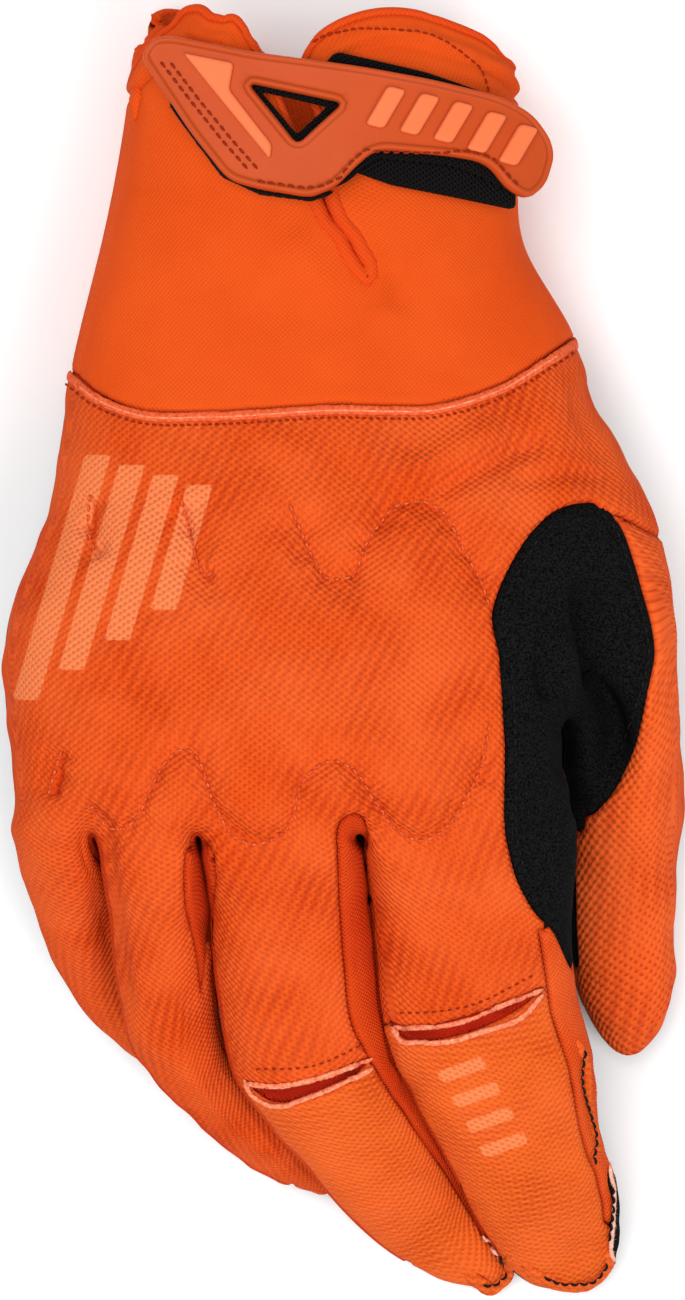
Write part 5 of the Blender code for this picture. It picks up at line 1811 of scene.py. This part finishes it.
# the pale relief stands on the tab's floor
relief_lift = tab_lift + TAB_THICKNESS * 0.62
RELIEF_RINGS = (0.00015, 0.0004, 0.0008)
moulded("tab_blade", rounded(tab_points(BLADE_OUTLINE), 0.0008), [], relief_lift,
        soft_edge(RELIEF_HEIGHT, 0.0004), pale_rubber, ["tab_blade"], "pale_rubber", 0.0003,
        RELIEF_RINGS)
slant = math.radians(BAR_SLANT)
for k, spot in enumerate(BARS):
    centre = tab_points(spot)
    tall = np.array([math.sin(slant), math.cos(slant)]) * BAR_LENGTH / 2
    wide = np.array([math.cos(slant / 2), -math.sin(slant / 2)]) * BAR_WIDTH / 2
    corners = np.array([centre - tall - wide, centre - tall + wide, centre + tall + wide,
                        centre + tall - wide])
    moulded(f"tab_bar_{k + 1}", rounded(corners, 0.0008), [], relief_lift,
            soft_edge(RELIEF_HEIGHT, 0.0004), pale_rubber, [f"tab_bar_{k + 1}"], "pale_rubber",
            0.0003, RELIEF_RINGS)
# thread that sews the tab's left end and its edge down
tab_tree = BVHTree.FromPolygons([tuple(v.co) for v in tab_piece.data.vertices],
                                [tuple(p.vertices) for p in tab_piece.data.polygons])
TAB_SEAMS = (
    ((161, 62), (190, 100), (222, 140), (252, 174)),
    ((171, 63), (200, 101), (232, 140), (262, 174)),
    ((258, 182), (300, 188), (322, 187), (340, 178), (352, 162), (366, 150), (420, 152), (468, 152),
     (492, 158), (508, 176), (522, 190)),
)
stitches("tab_stitches", [spaced(line, 2.0) for line in TAB_SEAMS], dark_thread, "tab_rubber",
         tree=tab_tree)
# the hook fabric's felted edge along the tab's lower side
FELT_EDGE = ((172, 104), (190, 130), (224, 176), (260, 193), (311, 200), (333, 192))
frayed("tab_felt_edge", [spaced(FELT_EDGE, 2.0)], black_thread, "hook_and_loop", 0.00035, 1.5,
       0.0006, 0.0005)


# --- Table, light and camera ------------------------------------------------------------------
# The glove lies on a pale matt table in a bright room, under two broad soft lamps. The camera
# looks straight down from the height that the drawing is made from.

TABLE_DROP = -0.0002
SENSOR_MM = 36.0
table_mesh = bpy.data.meshes.new("table")
table_mesh.from_pydata([(-1.5, -1.5, 0), (1.5, -1.5, 0), (1.5, 1.5, 0), (-1.5, 1.5, 0)], [],
                       [(0, 1, 2, 3)])
table_top = bpy.data.objects.new("table", table_mesh)
table_top.location.z = TABLE_DROP
bpy.context.scene.collection.objects.link(table_top)
pale_top, tree, surface = blank_material("pale table", 0.9)
surface.inputs["Base Color"].default_value = (0.97, 0.97, 0.97, 1.0)
table_mesh.materials.append(pale_top)

for name, place, size, power_w in (("lamp over", (-0.30, 0.12, 1.25), 0.8, 11.0),
                                   ("lamp low", (0.42, -0.50, 1.0), 0.7, 7.0)):
    lamp = bpy.data.lights.new(name, "AREA")
    lamp.size = size
    lamp.energy = power_w
    holder = bpy.data.objects.new(name, lamp)
    holder.location = place
    aim = Vector((0, 0, 0.02)) - Vector(place)
    holder.rotation_euler = aim.to_track_quat("-Z", "Y").to_euler()
    bpy.context.scene.collection.objects.link(holder)
room = bpy.data.worlds.new("room")
bpy.context.scene.world = room
room.use_nodes = True
room.node_tree.nodes["Background"].inputs[0].default_value = (1.0, 1.0, 1.0, 1.0)
room.node_tree.nodes["Background"].inputs[1].default_value = 0.46
bpy.context.scene.view_settings.view_transform = "Standard"

camera_data = bpy.data.cameras.new("camera")
camera_data.lens = SENSOR_MM * (EYE[2] - DRAWN_AT) / (STEP * 2 * MIDDLE_DOWN)
camera_data.sensor_width = SENSOR_MM
camera = bpy.data.objects.new("camera", camera_data)
camera.location = EYE
bpy.context.scene.collection.objects.link(camera)
bpy.context.scene.camera = camera
